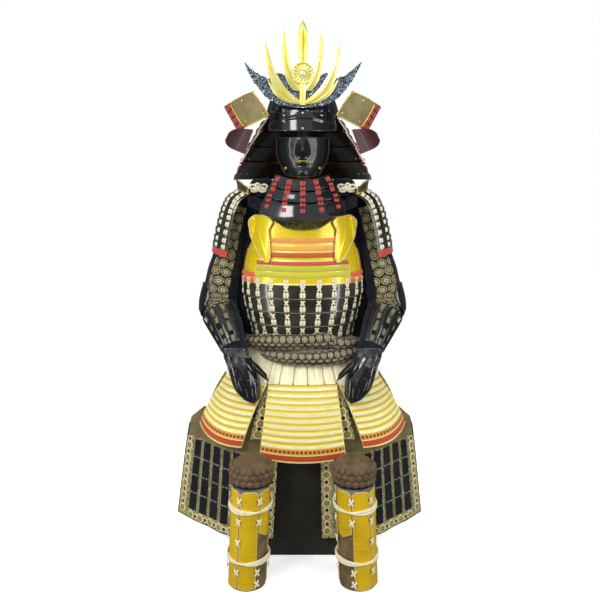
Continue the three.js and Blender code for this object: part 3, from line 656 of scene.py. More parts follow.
def facing_front(x, y, z):
    """One place that looks to the front."""
    return np.array([[x, y, z]]), np.array([[0, -1, 0.0]]), np.array([[0, 0, 1.0]]), np.ones((1, 3))


leaves.append(shell("disc", disc_point, 96, 16, 2.4, CREST, closed=True))
boss = dome("boss", 8, 5, 20, 5)
leaves.append(set_pieces("disc boss", boss, [facing_front(0, CREST_Y - 10, 1500)], CREST))
fit(join("gilt_crest", leaves), "gilt_brass", "crest")

# ---------- turned-back wings ----------
# The front ends of the neck guard's top lame are turned back beside the brim and covered with
# patterned leather inside a gilt rim; red silk lacing shows beyond the rim. The second lame's ends
# turn back too, in plain lacquer.
def cornered(corners, belly):
    a, b, c, d = [np.array(p, float) for p in corners]
    out = unit(np.cross(b - a, d - a))

    def point(u, v):
        u, v = np.broadcast_arrays(u, v)
        low = a + (b - a) * u[..., None]
        high = d + (c - d) * u[..., None]
        return low + (high - low) * v[..., None] + out * (belly * 4 * u * (1 - u))[..., None]
    return point


def part_of(point, u0, u1, v0=0.0, v1=1.0, out=0.0):
    """A window of a surface, lifted off it."""
    def window(u, v):
        uu, vv = u0 + (u1 - u0) * u, v0 + (v1 - v0) * v
        return point(uu, vv) + out * unit(np.cross(*slopes(point, uu, vv)))
    return window


def rim_of(point, steps, radius, finish, mirrored=False):
    """A rolled rim all round the edge of a surface."""
    t, foot = np.linspace(0, 1, steps, endpoint=False), np.zeros(steps)
    path = [point(t, foot), point(foot + 1, t), point(1 - t, foot + 1), point(foot, 1 - t)]
    return tube("rim", np.concatenate(path), radius, finish, closed=True, mirrored=mirrored)


f = Finish("patterned leather", cloud=26.0, grain=420.0, edge=0.002)
dots = f.node("ShaderNodeTexVoronoi", {"Vector": f.uv, "Scale": 210.0}, out="Distance")
f.paint(f.mix(f.step(dots, 0.32, 0.2), f.vary((0.2, 0.155, 0.045), (0.27, 0.215, 0.075)),
        (0.12, 0.1, 0.035)), (0.42, 0.6), f.plus(f.grain, dots), 0.35, 0.0006)
LEATHER = f.material
MAROON = lacquer("maroon lacquer", (0.004, 0.002, 0.002), (0.016, 0.004, 0.004), (0.17, 0.016, 0.012),
        0.26, edge=0.0035)
GOLD_RIM = plain_finish("gold rim", (0.78, 0.46, 0.04), (0.95, 0.68, 0.14), (0.25, 0.4), metallic=0.7,
        edge=0.0)


def silk(name, dark, light):
    """Flat braided silk: fine ribs along the tape, a soft sheen, and shade in the dips."""
    f = Finish(name, cloud=70.0, grain=900.0, edge=0.0)
    ribs = f.node("ShaderNodeTexWave", {"Vector": f.uv, "Scale": 143.3, "Distortion": 0.6}, out="Fac",
            bands_direction="DIAGONAL")
    f.paint(f.mix(f.times(f.step(ribs, 0.0, 0.45), f.between(f.cloud, 0.75, 1.0)), dark, light),
            (0.55, 0.8), f.plus(ribs, f.grain), 0.35, 0.0005, Sheen_Weight=0.5, Sheen_Roughness=0.4)
    return f.material


SALMON = silk("salmon silk", (0.26, 0.025, 0.02), (0.52, 0.07, 0.055))
CREAM = silk("cream silk", (0.55, 0.47, 0.25), (0.96, 0.91, 0.68))


def tape_block(name, tapes, width, height, thick):
    """Flat tapes side by side, each crowned across and tucked in at both ends, in millimetres."""
    across, up, gap, points, faces, uv = 5, 5, 0.8, [], [], []
    one = (width - gap * (tapes - 1)) / tapes
    for t in range(tapes):
        start, base = -width / 2 + t * (one + gap), len(points)
        for j in range(up + 1):
            for i in range(across + 1):
                s, q = i / across, j / up
                tuck = max(0.0, 1 - abs(2 * q - 1) ** 4)
                points.append(((start + one * s) * (0.9 + 0.1 * tuck), height * (q - 0.5),
                        thick * tuck * (0.35 + 0.65 * (1 - abs(2 * s - 1) ** 2.5)) - 0.4))
        for j in range(up):
            for i in range(across):
                a = base + j * (across + 1) + i
                faces.append((a, a + 1, a + across + 2, a + across + 1))
                uv += [((start + one * x / across) * MM, height * y / up * MM)
                       for x, y in ((i, j), (i + 1, j), (i + 1, j + 1), (i, j + 1))]
        grid = np.arange(base, len(points)).reshape(up + 1, across + 1)
        rim = [*grid[0], *grid[1:, -1], *grid[-1, -2::-1], *grid[-2:0:-1, 0]]
        faces.append(tuple(int(i) for i in rim[::-1]))
        uv += [(0, 0)] * len(rim)
    return make_object(name, points, faces, None, uv, None, 60)


DOUBLE_TAPE = tape_block("double tape", 2, 16, 16, 2.6)

WING_RED = lacquer("wing maroon", (0.02, 0.003, 0.003), (0.055, 0.008, 0.008), (0.22, 0.02, 0.015), 0.5,
        coat=0.1)
wing_rims, wing_lacing, wing_bosses = [], [], []
SIDES = ((False, "right"), (True, "left"))      # whether a side is the mirrored one, and its name
wing_point = cornered([(97, -24, 1384), (200, 40, 1340), (242, 52, 1416), (148, -8, 1457)], 10)
low_square = cornered([(178, 12, 1274), (246, 58, 1303), (222, 56, 1350), (150, 4, 1344)], 8)


def rounded_window(point, u0, u1, corner):
    """A window of a surface from u0 to u1 with its four corners drawn in."""
    def window(u, v):
        s, t = 2 * u - 1, 2 * v - 1
        s, t = s * (1 - corner * t * t * s * s), t * (1 - corner * s * s * t * t)
        return point(u0 + (u1 - u0) * (0.5 + 0.5 * s), 0.5 + 0.5 * t)
    return window


def low_point(u, v):
    """The lower wing's outer end is rounded off."""
    narrow = np.sqrt(1 - 0.8 * np.clip((u - 0.45) / 0.55, 0, 1) ** 2.4)
    return low_square(u, 0.5 + (v - 0.5) * narrow)


leather_part = part_of(rounded_window(wing_point, 0.0, 0.76, 0.07), 0.0, 1.0, out=1.2)
for side, label in SIDES:
    leather = shell("wing leather", leather_part, 24, 24, 1.6, LEATHER, mirrored=side)
    wing_rims.append(rim_of(leather_part, 20, 1.7, GOLD_RIM, side))
    wing_back = shell("wing back", wing_point, 20, 16, 2.5, BLACK, mirrored=side, rounded=0.5)
    wing_lacing.append(on_surface(wing_point, 0.88, (np.arange(4) + 0.5) / 4, 0.4, (1.72, 1.22, 1.2), side))
    wing_bosses.append(on_surface(leather_part, (0.14, 0.8, 0.5), (0.16, 0.16, 0.86), 0.3, mirrored=side))
    low = shell("low wing", low_point, 20, 16, 2.5, WING_RED, mirrored=side, rounded=0.5)
    low_rim = rim_of(low_point, 16, 1.5, WING_RED, side)
    fit(join(f"lower_wing_plate_{label}", [low, low_rim]), "red_lacquer", f"lower_wing_{label}")
    fit(join(f"turned_wing_plate_{label}", [leather, wing_back]), "printed_leather", f"turned_wing_{label}")
wing_studs = set_pieces("wing studs", RIVET, wing_bosses, GOLD_RIM, 1.15)
fit(join("turned_wing_rims", wing_rims + [wing_studs]), "gilt_brass")
fit(set_pieces("turned_wing_lacing", DOUBLE_TAPE, wing_lacing, SALMON, 1.0, 2.0), "silk_lacing")

# ---------- neck guard ----------
# Four lacquered lames widen down from the bowl round the back of the neck, hung on each other with
# red silk outside; the knots of the inner lacing show in pairs. A twisted cord binds the front edge.
NECK_LAMES = ((1384, 1339, 119, 149, 66), (1336, 1292, 148, 177, 70), (1289, 1244, 175, 200, 75),
        (1241, 1195, 198, 219, 81))
KNOT = dome("knot", 2.6, 2.0, 8, 3)
inner_knots, outer_tapes = [], []
for k, (top, foot, tw, fw, opening) in enumerate(NECK_LAMES):
    def lame_point(u, v):
        rise = (top - foot + (10 if top < 1384 else 0)) * v
        share = rise / (top - foot)
        gap = opening - 6 * share
        width = fw + (tw - fw) * share - 4.6 * np.clip((rise - (top - foot) + 5) / 8, 0, 1)
        return ring_point(gap + (360 - 2 * gap) * u, foot + rise, width, 134 + 56 * (width - 119) / 100)
    lame = shell(f"neck lame {k}", lame_point, 120, 8, 2.5, MAROON, rounded=0.5)
    edges = [tube("lame end", runs_of(lame_point, (end, 0, end, 1, 16)), 1.6, MAROON) for end in (0, 1)]
    fit(join(f"neck_guard_lame_{k + 1}", [lame] + edges), "red_lacquer", f"neck_lame_{k + 1}")
    span = 360 - 2 * opening
    reach = np.arange(4) * 11 + 5
    for sign in (1, -1):
        u = reach / span if sign > 0 else 1 - reach / span
        for off in (-2.2, 2.2):
            inner_knots.append(on_surface(lame_point, u + off / 219 / math.radians(span), 0.34, 2.7,
                    (0.8, 1.5, 0.8), inside=True))
    u = (np.arange(13) + 0.5) / 13
    outer_tapes.append(on_surface(lame_point, u, 0.66, 0.2, (0.8, 1.15, 1.0)))
    outer_tapes.append(on_surface(lame_point, u, 0.22, 1.0, (0.8, 0.6, 1.0)))
GREY_KNOT = silk("grey knot silk", (0.25, 0.25, 0.24), (0.6, 0.6, 0.58))
fit(set_pieces("neck_guard_inner_knots", KNOT, inner_knots, GREY_KNOT, 1.0, 4.0), "silk_lacing")
fit(set_pieces("neck_guard_lacing", DOUBLE_TAPE, outer_tapes, SALMON, 1.0, 2.0, 3), "silk_lacing")
edge_cords = []
for sign in (1, -1):
    path = []
    for top, foot, tw, fw, opening in NECK_LAMES[:3]:
        for v in (0.9, 0.5, 0.1):
            width = fw + (tw - fw) * v
            path.append(ring_point(sign * (opening - 6 * v - 0.6), foot + (top - foot) * v, width + 1.5,
                    134 + 56 * (width - 119) / 100 + 1.5))
    fine = [np.interp(np.linspace(0, len(path) - 1, 110), np.arange(len(path)), way)
            for way in np.transpose(path)]
    edge_cords.append(tube("edge cord", np.stack(fine, -1), 2.6, CREAM, 10, lobes=3, pitch=9))
fit(join("neck_guard_edge_cords", edge_cords), "silk_lacing")

# ---------- face mask ----------
# A plain iron half mask, lacquered black: cheeks, nose, calm closed lips and
# a rounded chin of ordinary proportions, with a gilt lip line and two pegs for its tying cord.
def bell(distance, size):
    return np.exp(-(distance / size) ** 2)


MASK_FOOT, MASK_RISE, LIP_Z = 1204, 114, 1249.5


def mask_point(u, v):
    s = 2 * u - 1
    z = MASK_FOOT + MASK_RISE * v + 12 * s * s * (1 - v)
    width = 80 * (0.7 + 0.3 * np.sin(np.minimum(v * 1.5, 1) * np.pi / 2))
    x = width * np.sin(np.radians(86) * s)
    cheek = -62 + 92 * (1 - np.cos(np.radians(86) * s))
    nostrils = (bell(x - 11, 9) + bell(x + 11, 9)) * bell(z - 1272, 10)
    nose = -25 * bell(x, 14) * bell(z - 1285, 21) - 3 * nostrils
    chin = -12 * bell(x, 26) * bell(z - 1216, 16)
    lips = -4.5 * bell(x, 25) * (bell(z - 1255, 5.5) + bell(z - 1244, 5.5))
    fold = -1.2 * (bell(x - 42, 14) + bell(x + 42, 14)) * bell(z - 1262, 26)
    bone = -3 * (bell(x - 50, 24) + bell(x + 50, 24)) * bell(z - 1298, 16)
    return np.stack([x, cheek + nose + chin + lips + fold + bone, z], -1)


MASK_BLACK = lacquer("mask lacquer", (0.002, 0.003, 0.004), (0.005, 0.006, 0.007), (0.03, 0.022, 0.014),
        0.3, coat=0.25)
mask = shell("mask", mask_point, 90, 56, 2.5, MASK_BLACK, rounded=0.6)
mask_rim = rim_of(mask_point, 40, 1.8, MASK_BLACK)
lip_v = (LIP_Z - MASK_FOOT) / MASK_RISE + 0.006 * np.cos(np.linspace(-1, 1, 24) * 2.4)
lip_path = mask_point(np.linspace(0.36, 0.64, 24), lip_v) + np.array([0, -0.9, 0])
lip_line = tube("lip line", lip_path, 1.5 * np.sin(np.linspace(0.1, np.pi - 0.1, 24)) ** 0.6, GOLD_RIM)
PEG = dome("peg", 4.0, 5.0, 12, 4)
pegs = set_pieces("mask pegs", PEG, [on_surface(mask_point, (0.22, 0.78), 0.2, 0.2)], GOLD_RIM)
fit(join("face_mask", [mask, mask_rim]), "black_lacquer", "mask_face")
fit(join("face_mask_trim", [lip_line, pegs]), "gilt_brass")

# ---------- throat guard ----------
# Three curved lames hang from the mask's chin, each laced to the next with five pairs of red silk
# tapes; the last lame is scalloped along its foot.
RED_TAPE = silk("red silk", (0.3, 0.02, 0.012), (0.6, 0.06, 0.04))
THROAT = ((1196, 1164, 80, 98, -70, -82), (1161, 1130, 98, 114, -80, -90),
        (1127, 1082, 114, 132, -88, -100))
throat_tapes = []
for k, (top, foot, tw, fw, ty, fy) in enumerate(THROAT):
    last = k == 2

    def throat_point(u, v):
        s = 2 * u - 1
        scallop = 6 * np.abs(np.sin(2.5 * np.pi * u)) * np.maximum(1 - v, 0) if last else 0 * u
        roll = 1.6 * np.exp(-(v / 0.07) ** 2)
        rise = (top - foot + (9 if top < 1196 else 0)) * v
        share = rise / (top - foot)
        tuck = 5 * np.clip((rise - (top - foot) + 4) / 7, 0, 1)
        return np.stack(np.broadcast_arrays((fw + (tw - fw) * share) * s, fy + (ty - fy) * share + 46 * s
                * s - roll + tuck, foot + rise + 16 * s * s - scallop), -1)
    lame = shell(f"throat lame {k}", throat_point, 80, 10, 2.5, BLACK, rounded=0.5)
    fit(join(f"throat_guard_lame_{k + 1}", [lame]), "black_lacquer", f"throat_lame_{k + 1}")
    u = 0.5 + 0.5 * np.array([-0.88, -0.46, 0.0, 0.46, 0.88])
    for v, lift, scale in (((0.8, 0.3, (1.05, 0.98, 1.1)), (0.46, 0.3, (0.9, 0.8, 1.0))) if last
            else ((0.66, 0.3, (1.05, 0.98, 1.1)), (0.16, 1.6, (1.05, 0.62, 1.1)))):
        throat_tapes.append(on_surface(throat_point, u, v, lift, scale))
fit(set_pieces("throat_guard_lacing", DOUBLE_TAPE, throat_tapes, RED_TAPE, 1.0, 4.0, 5), "silk_lacing")

# ---------- body armour: chest, back and side plates ----------
# Plates of stiffened leather in gold lacquer, with close bands of coloured silk lacing set into
# shallow steps across the chest and the back, and gilt piping round the neck and the arm openings.
TORSO = np.array([(640, 164, 126), (700, 164, 128), (775, 182, 140), (854, 196, 148), (940, 188, 146),
        (1000, 175, 143), (1040, 168, 140), (1140, 154, 130)], float)
FRONT_EDGE = np.array([(0, 1043), (18, 1050), (34, 1073), (44, 1082), (52, 1070), (62, 1020), (70, 992)],
        float)
BACK_EDGE = np.array([(0, 1108), (20, 1106), (44, 1092), (56, 1060), (70, 992)], float)


def look_up(table, z):
    """Smooth values between the rows of a table: all its columns beside the first, at z in the first."""
    return [smooth(z, table[:, 0], column) for column in table.T[1:]]


def torso_point(angle, z, out=0.0):
    half_width, half_depth = look_up(TORSO, z)
    return ring_point(angle, z, half_width + out, half_depth + out)


def gold_lacquer(name, dark, light, edge=0.0016):
    """Gold leaf toned with amber lacquer, brushed across and rubbed pale along the edges."""
    f = Finish(name, cloud=7.0, grain=500.0, edge=edge)
    brushed = f.node("ShaderNodeMapping", {"Vector": f.place, "Scale": (6.0, 6.0, 120.0)}, out=0)
    streak = f.noise(brushed, 3.0, 3.0)
    f.paint(f.mix(f.edge, f.mix(f.between(streak, 0.0, 1.0), f.vary(dark, light), light),
            (0.95, 0.75, 0.35)), (0.24, 0.42), streak, 0.1, 0.0005, Metallic=0.25, Coat_Weight=0.35,
            Coat_Roughness=0.12)
    return f.material


GOLD_LACQUER = gold_lacquer("gold lacquer", (0.74, 0.5, 0.004), (0.88, 0.68, 0.012))


CHEST_FOOT = 877.3


def upper_plate(edge, turn):
    def point(u, v):
        angle = -70 + 140 * u
        top = look_up(edge, np.abs(angle))[0]
        return torso_point(angle + turn, CHEST_FOOT + (top - CHEST_FOOT) * v)
    return point


BANDS = (  # foot, head, half angle, silk
    (1006, 1020.5, 44, silk("salmon band", (0.62, 0.2, 0.05), (0.93, 0.4, 0.11))),
    (981.5, 996, 45, silk("orange band", (0.72, 0.28, 0.03), (0.97, 0.5, 0.08))),
    (961, 976.5, 46, silk("brick band", (0.38, 0.07, 0.015), (0.62, 0.14, 0.035))),
    (937, 949.5, 49, silk("red band", (0.42, 0.06, 0.03), (0.66, 0.12, 0.06))),
    (918, 934.5, 49, silk("leaf green band", (0.36, 0.36, 0.02), (0.62, 0.62, 0.07))),
    (899, 915.5, 49, silk("olive band", (0.4, 0.4, 0.02), (0.68, 0.66, 0.06))),
)


def laced_band(name, foot, head, first, last, finish, out=2.4):
    """A band of slanting silk cords, side by side, over a step in the plate."""
    middle = (foot + head) / 2
    width = math.radians(last - first) * look_up(TORSO, middle)[0] * 0.9
    cords = max(4, int(width / 5.6))

    def point(u, v):
        cord = np.abs(np.sin(np.pi * cords * (u + 0.35 * (v - 0.5) / cords)))
        tuck = 1 - np.abs(2 * v - 1) ** 3
        return torso_point(first + (last - first) * u, foot + (head - foot) * v,
                out * (0.25 + 0.75 * tuck) + 1.7 * (cord - 0.5) * tuck)
    return shell(name, point, cords * 6, 5, 1.2, finish, smooth_angle=80)


torso_bands = []
for turn, label in ((0, "front"), (180, "back")):
    edge = FRONT_EDGE if turn == 0 else BACK_EDGE
    plate = shell(f"{label} plate", upper_plate(edge, turn), 84, 44, 2.5, GOLD_LACQUER, rounded=0.5)
    step = [shell(f"{label} step {k}", lambda u, v: torso_point(
        turn - h + 2 * h * u, z + 4.5 * v, 1.8 * (1 - v) + 0.2), 60, 2, 1.0, GOLD_LACQUER)
        for k, (z, h) in enumerate(((996, 44), (976.5, 45), (949.5, 47), (877.5, 49)))]
    fit(join(f"{label}_plate", [plate] + step), "yellow_lacquer", f"dou_{label}")
    for foot, head, half, finish in BANDS:
        torso_bands.append(laced_band(f"{label} band {foot}", foot, head, turn - half, turn + half, finish))
fit(join("torso_lacing_bands", torso_bands), "silk_lacing")

side_bands = []
SIDE_START, SIDE_SPAN = 70.4, 39.2      # degrees from the front, between the front and back plates


def side_top(share):
    """The arm opening dips at its middle."""
    return 986 - 16 * np.sin(share * np.pi)


ORANGE_RED = silk("orange red band", (0.5, 0.06, 0.02), (0.82, 0.16, 0.06))
for side, label in SIDES:
    def side_point(u, v):
        return torso_point(SIDE_START + SIDE_SPAN * u, CHEST_FOOT + (side_top(u) - CHEST_FOOT) * v)
    piece = shell(f"side plate {label}", side_point, 30, 20, 2.5, GOLD_LACQUER, mirrored=side, rounded=0.5)
    fit(join(f"side_plate_{label}_lacquer", [piece]), "yellow_lacquer", f"side_plate_{label}")
    low, high = (-130, -50) if side else (50, 130)
    for foot, head in ((896, 911), (878.5, 892.5)):
        side_bands.append(laced_band(f"side band {label} {foot}", foot, head, low, high, ORANGE_RED, 3.2))
fit(join("side_lacing_bands", side_bands), "silk_lacing")

angles = np.linspace(-44, 44, 70)
piping = [tube("neck piping", torso_point(angles, look_up(FRONT_EDGE, np.abs(angles))[0], -0.6), 2.2,
        GOLD_RIM)]
for side, label in SIDES:
    angles = np.linspace(44, 110, 60)
    tops = np.where(angles < SIDE_START - 0.2, look_up(FRONT_EDGE, angles)[0],
            side_top(np.clip((angles - SIDE_START) / SIDE_SPAN, 0, 1)))
    piping.append(tube("arm piping", torso_point(angles, tops, -0.6), 1.9, GOLD_RIM, mirrored=side))
angles = np.linspace(110, 250, 100)
back_tops = look_up(BACK_EDGE, np.abs(angles - 180))[0]
piping.append(tube("back piping", torso_point(angles, back_tops, -0.6), 1.9, GOLD_RIM))
for turn in (0, 180):
    for reach in (49.4, -49.4):
        piping.append(tube("band border", torso_point(turn + reach, np.linspace(879, 940, 24), 1.4), 1.5,
                GOLD_LACQUER, 6))
fit(join("torso_piping", piping), "gilt_brass")

# ---------- waist lames ----------
# Four dark lacquered hoops hang below the chest plates, each foot standing out over the next head,
# laced in pairs of cream silk tapes: a crossed knot on each lame, then a double tape over the seam.
# Its pale grey rims are painted highlights: thin light lines along each lame's edges.
WAIST = lacquer("waist lacquer", (0.012, 0.014, 0.01), (0.05, 0.046, 0.026), (0.5, 0.5, 0.45), 0.3,
        edge=0.0009)


def cross_knot(name, width, height, thick):
    """Two crowned tapes laid over each other in an X."""
    arms = []
    for turn in (1, -1):
        arm = tape_block(name + " arm", 1, width * 0.34, math.hypot(width, height) * 0.92, thick)
        tilt = math.atan2(width * 0.62, height) * turn
        co = np.array([v.co for v in arm.data.vertices])
        turned = np.stack([co[:, 0] * math.cos(tilt) - co[:, 1] * math.sin(tilt),
                co[:, 0] * math.sin(tilt) + co[:, 1] * math.cos(tilt),
                co[:, 2] + (0.0009 if turn > 0 else 0)], -1)
        arm.data.vertices.foreach_set("co", turned.ravel())
        arms.append(arm)
    return join(name, arms)


CROSS = cross_knot("cross knot", 17, 14, 2.2)
cross_places, double_places = [], []
WAIST_HEAD = 877
LAME = (WAIST_HEAD - 700) / 4
for k in range(4):
    foot = WAIST_HEAD - LAME * (k + 1)

    def waist_point(u, v):
        roll = 1.1 * np.exp(-(v / 0.05) ** 2)
        return torso_point(360 * u, foot + 0.6 + (LAME - 0.6) * v, 2.2 * (1 - v) + roll)
    hoop = shell(f"waist lame {k}", waist_point, 180, 12, 2.5, WAIST, closed=True, rounded=0.4)
    fit(join(f"waist_hoop_{k + 1}", [hoop]), "black_lacquer", f"waist_lame_{k + 1}")
    u = np.arange(24) / 24
    cross_places.append(on_surface(waist_point, u, 0.72, 0.5))
    double_places.append(on_surface(waist_point, u, 0.27, 0.6, (1.12, 1.12, 1.1)))
    if k == 0:
        double_places.append(on_surface(waist_point, u, 0.999, 0.5))
double_places.append(on_surface(lambda u, v: torso_point(360 * u, WAIST_HEAD + 18 * v, 0.6), u, 0.5, 0.9,
        (1.05, 0.9, 1.0)))
fit(set_pieces("waist_cross_knots", CROSS, cross_places, CREAM, 1.0, 3.0, 7), "silk_lacing")
fit(set_pieces("waist_double_tapes", DOUBLE_TAPE, double_places, CREAM, 1.0, 2.0, 9), "silk_lacing")

# ---------- leaf plates ----------
# Two small hanging plates guard the fastenings of the shoulder straps: leaf-shaped, gold lacquered,
# with a pale raised rim and a plain raised vein.
LEAF = np.array([(946, 114, 106), (956, 125, 101), (975, 139, 100), (998, 152, 101), (1022, 164, 103),
        (1040, 166, 105), (1079, 160, 101), (1087, 148, 116)], float)
PALE_RIM = plain_finish("pale gilt rim", (0.85, 0.7, 0.22), (0.95, 0.84, 0.42), (0.25, 0.4), metallic=0.4,
        edge=0.0)


def leaf_point(u, v):
    z = 946 + 141 * v
    outer, inner = look_up(LEAF, z)
    x = inner + (outer - inner) * u
    half_width, half_depth = look_up(TORSO, z)
    y = AXIS_Y - half_depth * np.sqrt(1 - np.minimum((x / half_width) ** 2, 0.86))
    vein = 1.6 * bell(u - 0.45 - 0.1 * v, 0.05) * np.clip(4 * v * (1 - v) * 1.5, 0, 1)
    return np.stack([x, y - 9 - 2.5 * (1 - (2 * u - 1) ** 2) - vein, z], -1)


for side, label in SIDES:
    leaf = shell(f"leaf {label}", leaf_point, 28, 48, 3, GOLD_LACQUER, mirrored=side, rounded=0.5)
    rim = rim_of(leaf_point, 36, 1.9, PALE_RIM, side)
    fit(join(f"leaf_plate_{label}_lacquer", [leaf, rim]), "yellow_lacquer", f"leaf_plate_{label}")

# ---------- neck cloth ----------
# The padded brocade edge of the under-collar that shows inside the neckline, dark green with a
# small gold figure.
def build_medallion_group():
    """Round flowers in rows on a cloth: masks for the ring, the petals, the disc and a leaf figure."""
    tree, w, given = new_group("medallion cloth", (("Place", "Vector", None), ("Pitch", "Float", 0.03),
            ("Radius", "Float", 0.38), ("Petals", "Float", 8.0), ("Stagger", "Float", 0.5)),
            [(label, "Float", None) for label in ("Ring", "Petals", "Disc", "Leaf", "Number")])
    parts = w.node("ShaderNodeSeparateXYZ", {0: given["Place"]}, out=None).outputs
    row = w.calc("DIVIDE", parts[1], given["Pitch"])
    row_number = w.calc("FLOOR", row)
    odd = w.calc("MODULO", w.calc("ABSOLUTE", row_number), 2.0)
    column = w.calc("MULTIPLY_ADD", odd, given["Stagger"], w.calc("DIVIDE", parts[0], given["Pitch"]))
    x = w.calc("SUBTRACT", w.calc("FRACT", column), 0.5)
    y = w.calc("SUBTRACT", w.calc("FRACT", row), 0.5)
    radius = w.calc("SQRT", w.calc("MULTIPLY_ADD", x, x, w.times(y, y)))
    share = w.calc("DIVIDE", radius, given["Radius"])
    turn = w.calc("ARCTAN2", y, x)
    wave = w.calc("COSINE", w.times(turn, given["Petals"]))
    disc = w.step(share, 1.0, 0.94)
    ring = w.times(disc, w.step(share, 0.8, 0.86))
    reach = w.calc("MULTIPLY_ADD", wave, 0.16, 0.56)
    petal = w.times(w.step(w.calc("SUBTRACT", reach, share), 0.0, 0.06), w.step(share, 0.14, 0.22))
    leaf_scale = w.calc("DIVIDE", 2.6, given["Pitch"])
    leafy = w.node("ShaderNodeTexVoronoi", {"Vector": given["Place"], "Scale": leaf_scale},
            out="Distance", feature="DISTANCE_TO_EDGE")
    leaf_mask = w.times(w.step(leafy, 0.1, 0.04), w.calc("SUBTRACT", 1.0, disc))
    number = w.node("ShaderNodeTexWhiteNoise", {"Vector": w.node(
        "ShaderNodeCombineXYZ", {0: w.calc("FLOOR", column), 1: row_number, 2: 3.0})}, out="Value")
    w.node("NodeGroupOutput", {"Ring": ring, "Petals": petal, "Disc": disc, "Leaf": leaf_mask,
            "Number": number}, out=None)
    return tree


def build_weave_group():
    """Plain weave: threads over and under, as a height and a shade."""
    tree, w, given = new_group("weave", (("Place", "Vector", None), ("Thread", "Float", 0.0011)),
            (("Height", "Float", None),))
    parts = w.node("ShaderNodeSeparateXYZ", {0: given["Place"]}, out=None).outputs
    warp, weft = [w.calc("SINE", w.times(w.calc("DIVIDE", parts[k], given["Thread"]), math.pi))
            for k in (0, 1)]
    w.node("NodeGroupOutput", {"Height": w.calc("MULTIPLY_ADD", w.times(warp, weft), 0.5, 0.5)}, out=None)
    return tree


MEDALLION, WEAVE = build_medallion_group(), build_weave_group()


def brocade(name, ground, gold, petal_a, petal_b, pitch=0.03, radius=0.42, petals=8.0, stagger=0.5,
        leaf_share=1.0, shift=(0, 0, 0), disc_tone=None, leaf_tone=None):
    """Figured silk: medallions with petals in two tones among small gold leaves on a dark ground."""
    f = Finish(name, cloud=26.0, grain=900.0, edge=0.0)
    at = f.node("ShaderNodeMapping", {"Vector": f.uv, "Location": shift}, out=0)
    ring, petal, disc, leaf, number = f.node("ShaderNodeGroup", {"Place": at, "Pitch": pitch,
            "Radius": radius, "Petals": petals, "Stagger": stagger}, out=None,
            node_tree=MEDALLION).outputs
    weave = f.node("ShaderNodeGroup", {"Place": f.uv, "Thread": 0.0009}, node_tree=WEAVE)
    broken = f.step(f.noise(f.uv, 1400.0, 2.0), 0.4, 0.5)
    colour = f.mix(f.times(f.times(leaf, broken), leaf_share), f.vary(*ground), leaf_tone or gold)
    colour = f.mix(disc, colour, disc_tone or ground[0])
    colour = f.mix(f.times(petal, broken), colour, f.mix(f.step(number, 0.45, 0.55), petal_a, petal_b))
    colour = f.mix(f.times(ring, broken), colour, gold)
    height = f.plus(weave, f.plus(petal, f.plus(leaf, ring)))
    f.paint(colour, (0.55, 0.8), height, 0.45, 0.0006, Sheen_Weight=0.1, Specular_IOR_Level=0.2)
    return f.material


COLLAR_SILK = brocade("collar brocade", ((0.006, 0.012, 0.005), (0.018, 0.028, 0.01)), (0.35, 0.3, 0.08),
        (0.2, 0.26, 0.08), (0.4, 0.34, 0.12), pitch=0.017)


def neck_point(u, v):
    angle = -50 + 100 * u
    z = 1010 + (62 + 34 * np.sin(np.radians(angle)) ** 2) * v
    puff = 2.2 * np.sin(np.pi * np.clip(v, 0, 1)) * np.abs(np.sin(np.radians(angle) * 9))
    return torso_point(angle, z, -6 - 10 * v + puff)


collar = shell("collar", neck_point, 80, 16, 2.4, COLLAR_SILK, rounded=0.6)
roll_angles = np.linspace(-50, 50, 60)
collar_roll = tube("collar roll",
        torso_point(roll_angles, 1072 + 34 * np.sin(np.radians(roll_angles)) ** 2, -17), 3.4, COLLAR_SILK,
        10)
collar = fit(join("collar_cloth", [collar, collar_roll]), "brocade", "neck_cloth")

# ---------- shoulder straps and bows ----------
# Stiff black leather straps carry the body armour over the shoulders. Cream silk cords tie the
# shoulder guards to them in a bow on each side.
STRAP = plain_finish("strap leather", (0.01, 0.01, 0.012), (0.03, 0.03, 0.032), (0.35, 0.55),
        (0.12, 0.09, 0.05), relief=(None, 0.3, 0.0005), cloud=30.0, grain=600.0, edge=0.002)


def woven(name, dark, light, cloud, thread=None, **sheen):
    """Plain hemp cloth, its weave raised, and dark between the threads where thread is given."""
    f = Finish(name, cloud=cloud, grain=900.0, edge=0.0)
    weave = f.node("ShaderNodeGroup", {"Place": f.uv}, node_tree=WEAVE)
    colour = f.vary(dark, light)
    f.paint(f.mix(f.times(weave, 0.5), colour, thread) if thread else colour, (0.7, 0.9), weave, 0.5,
            0.0006, **sheen)
    return f.material


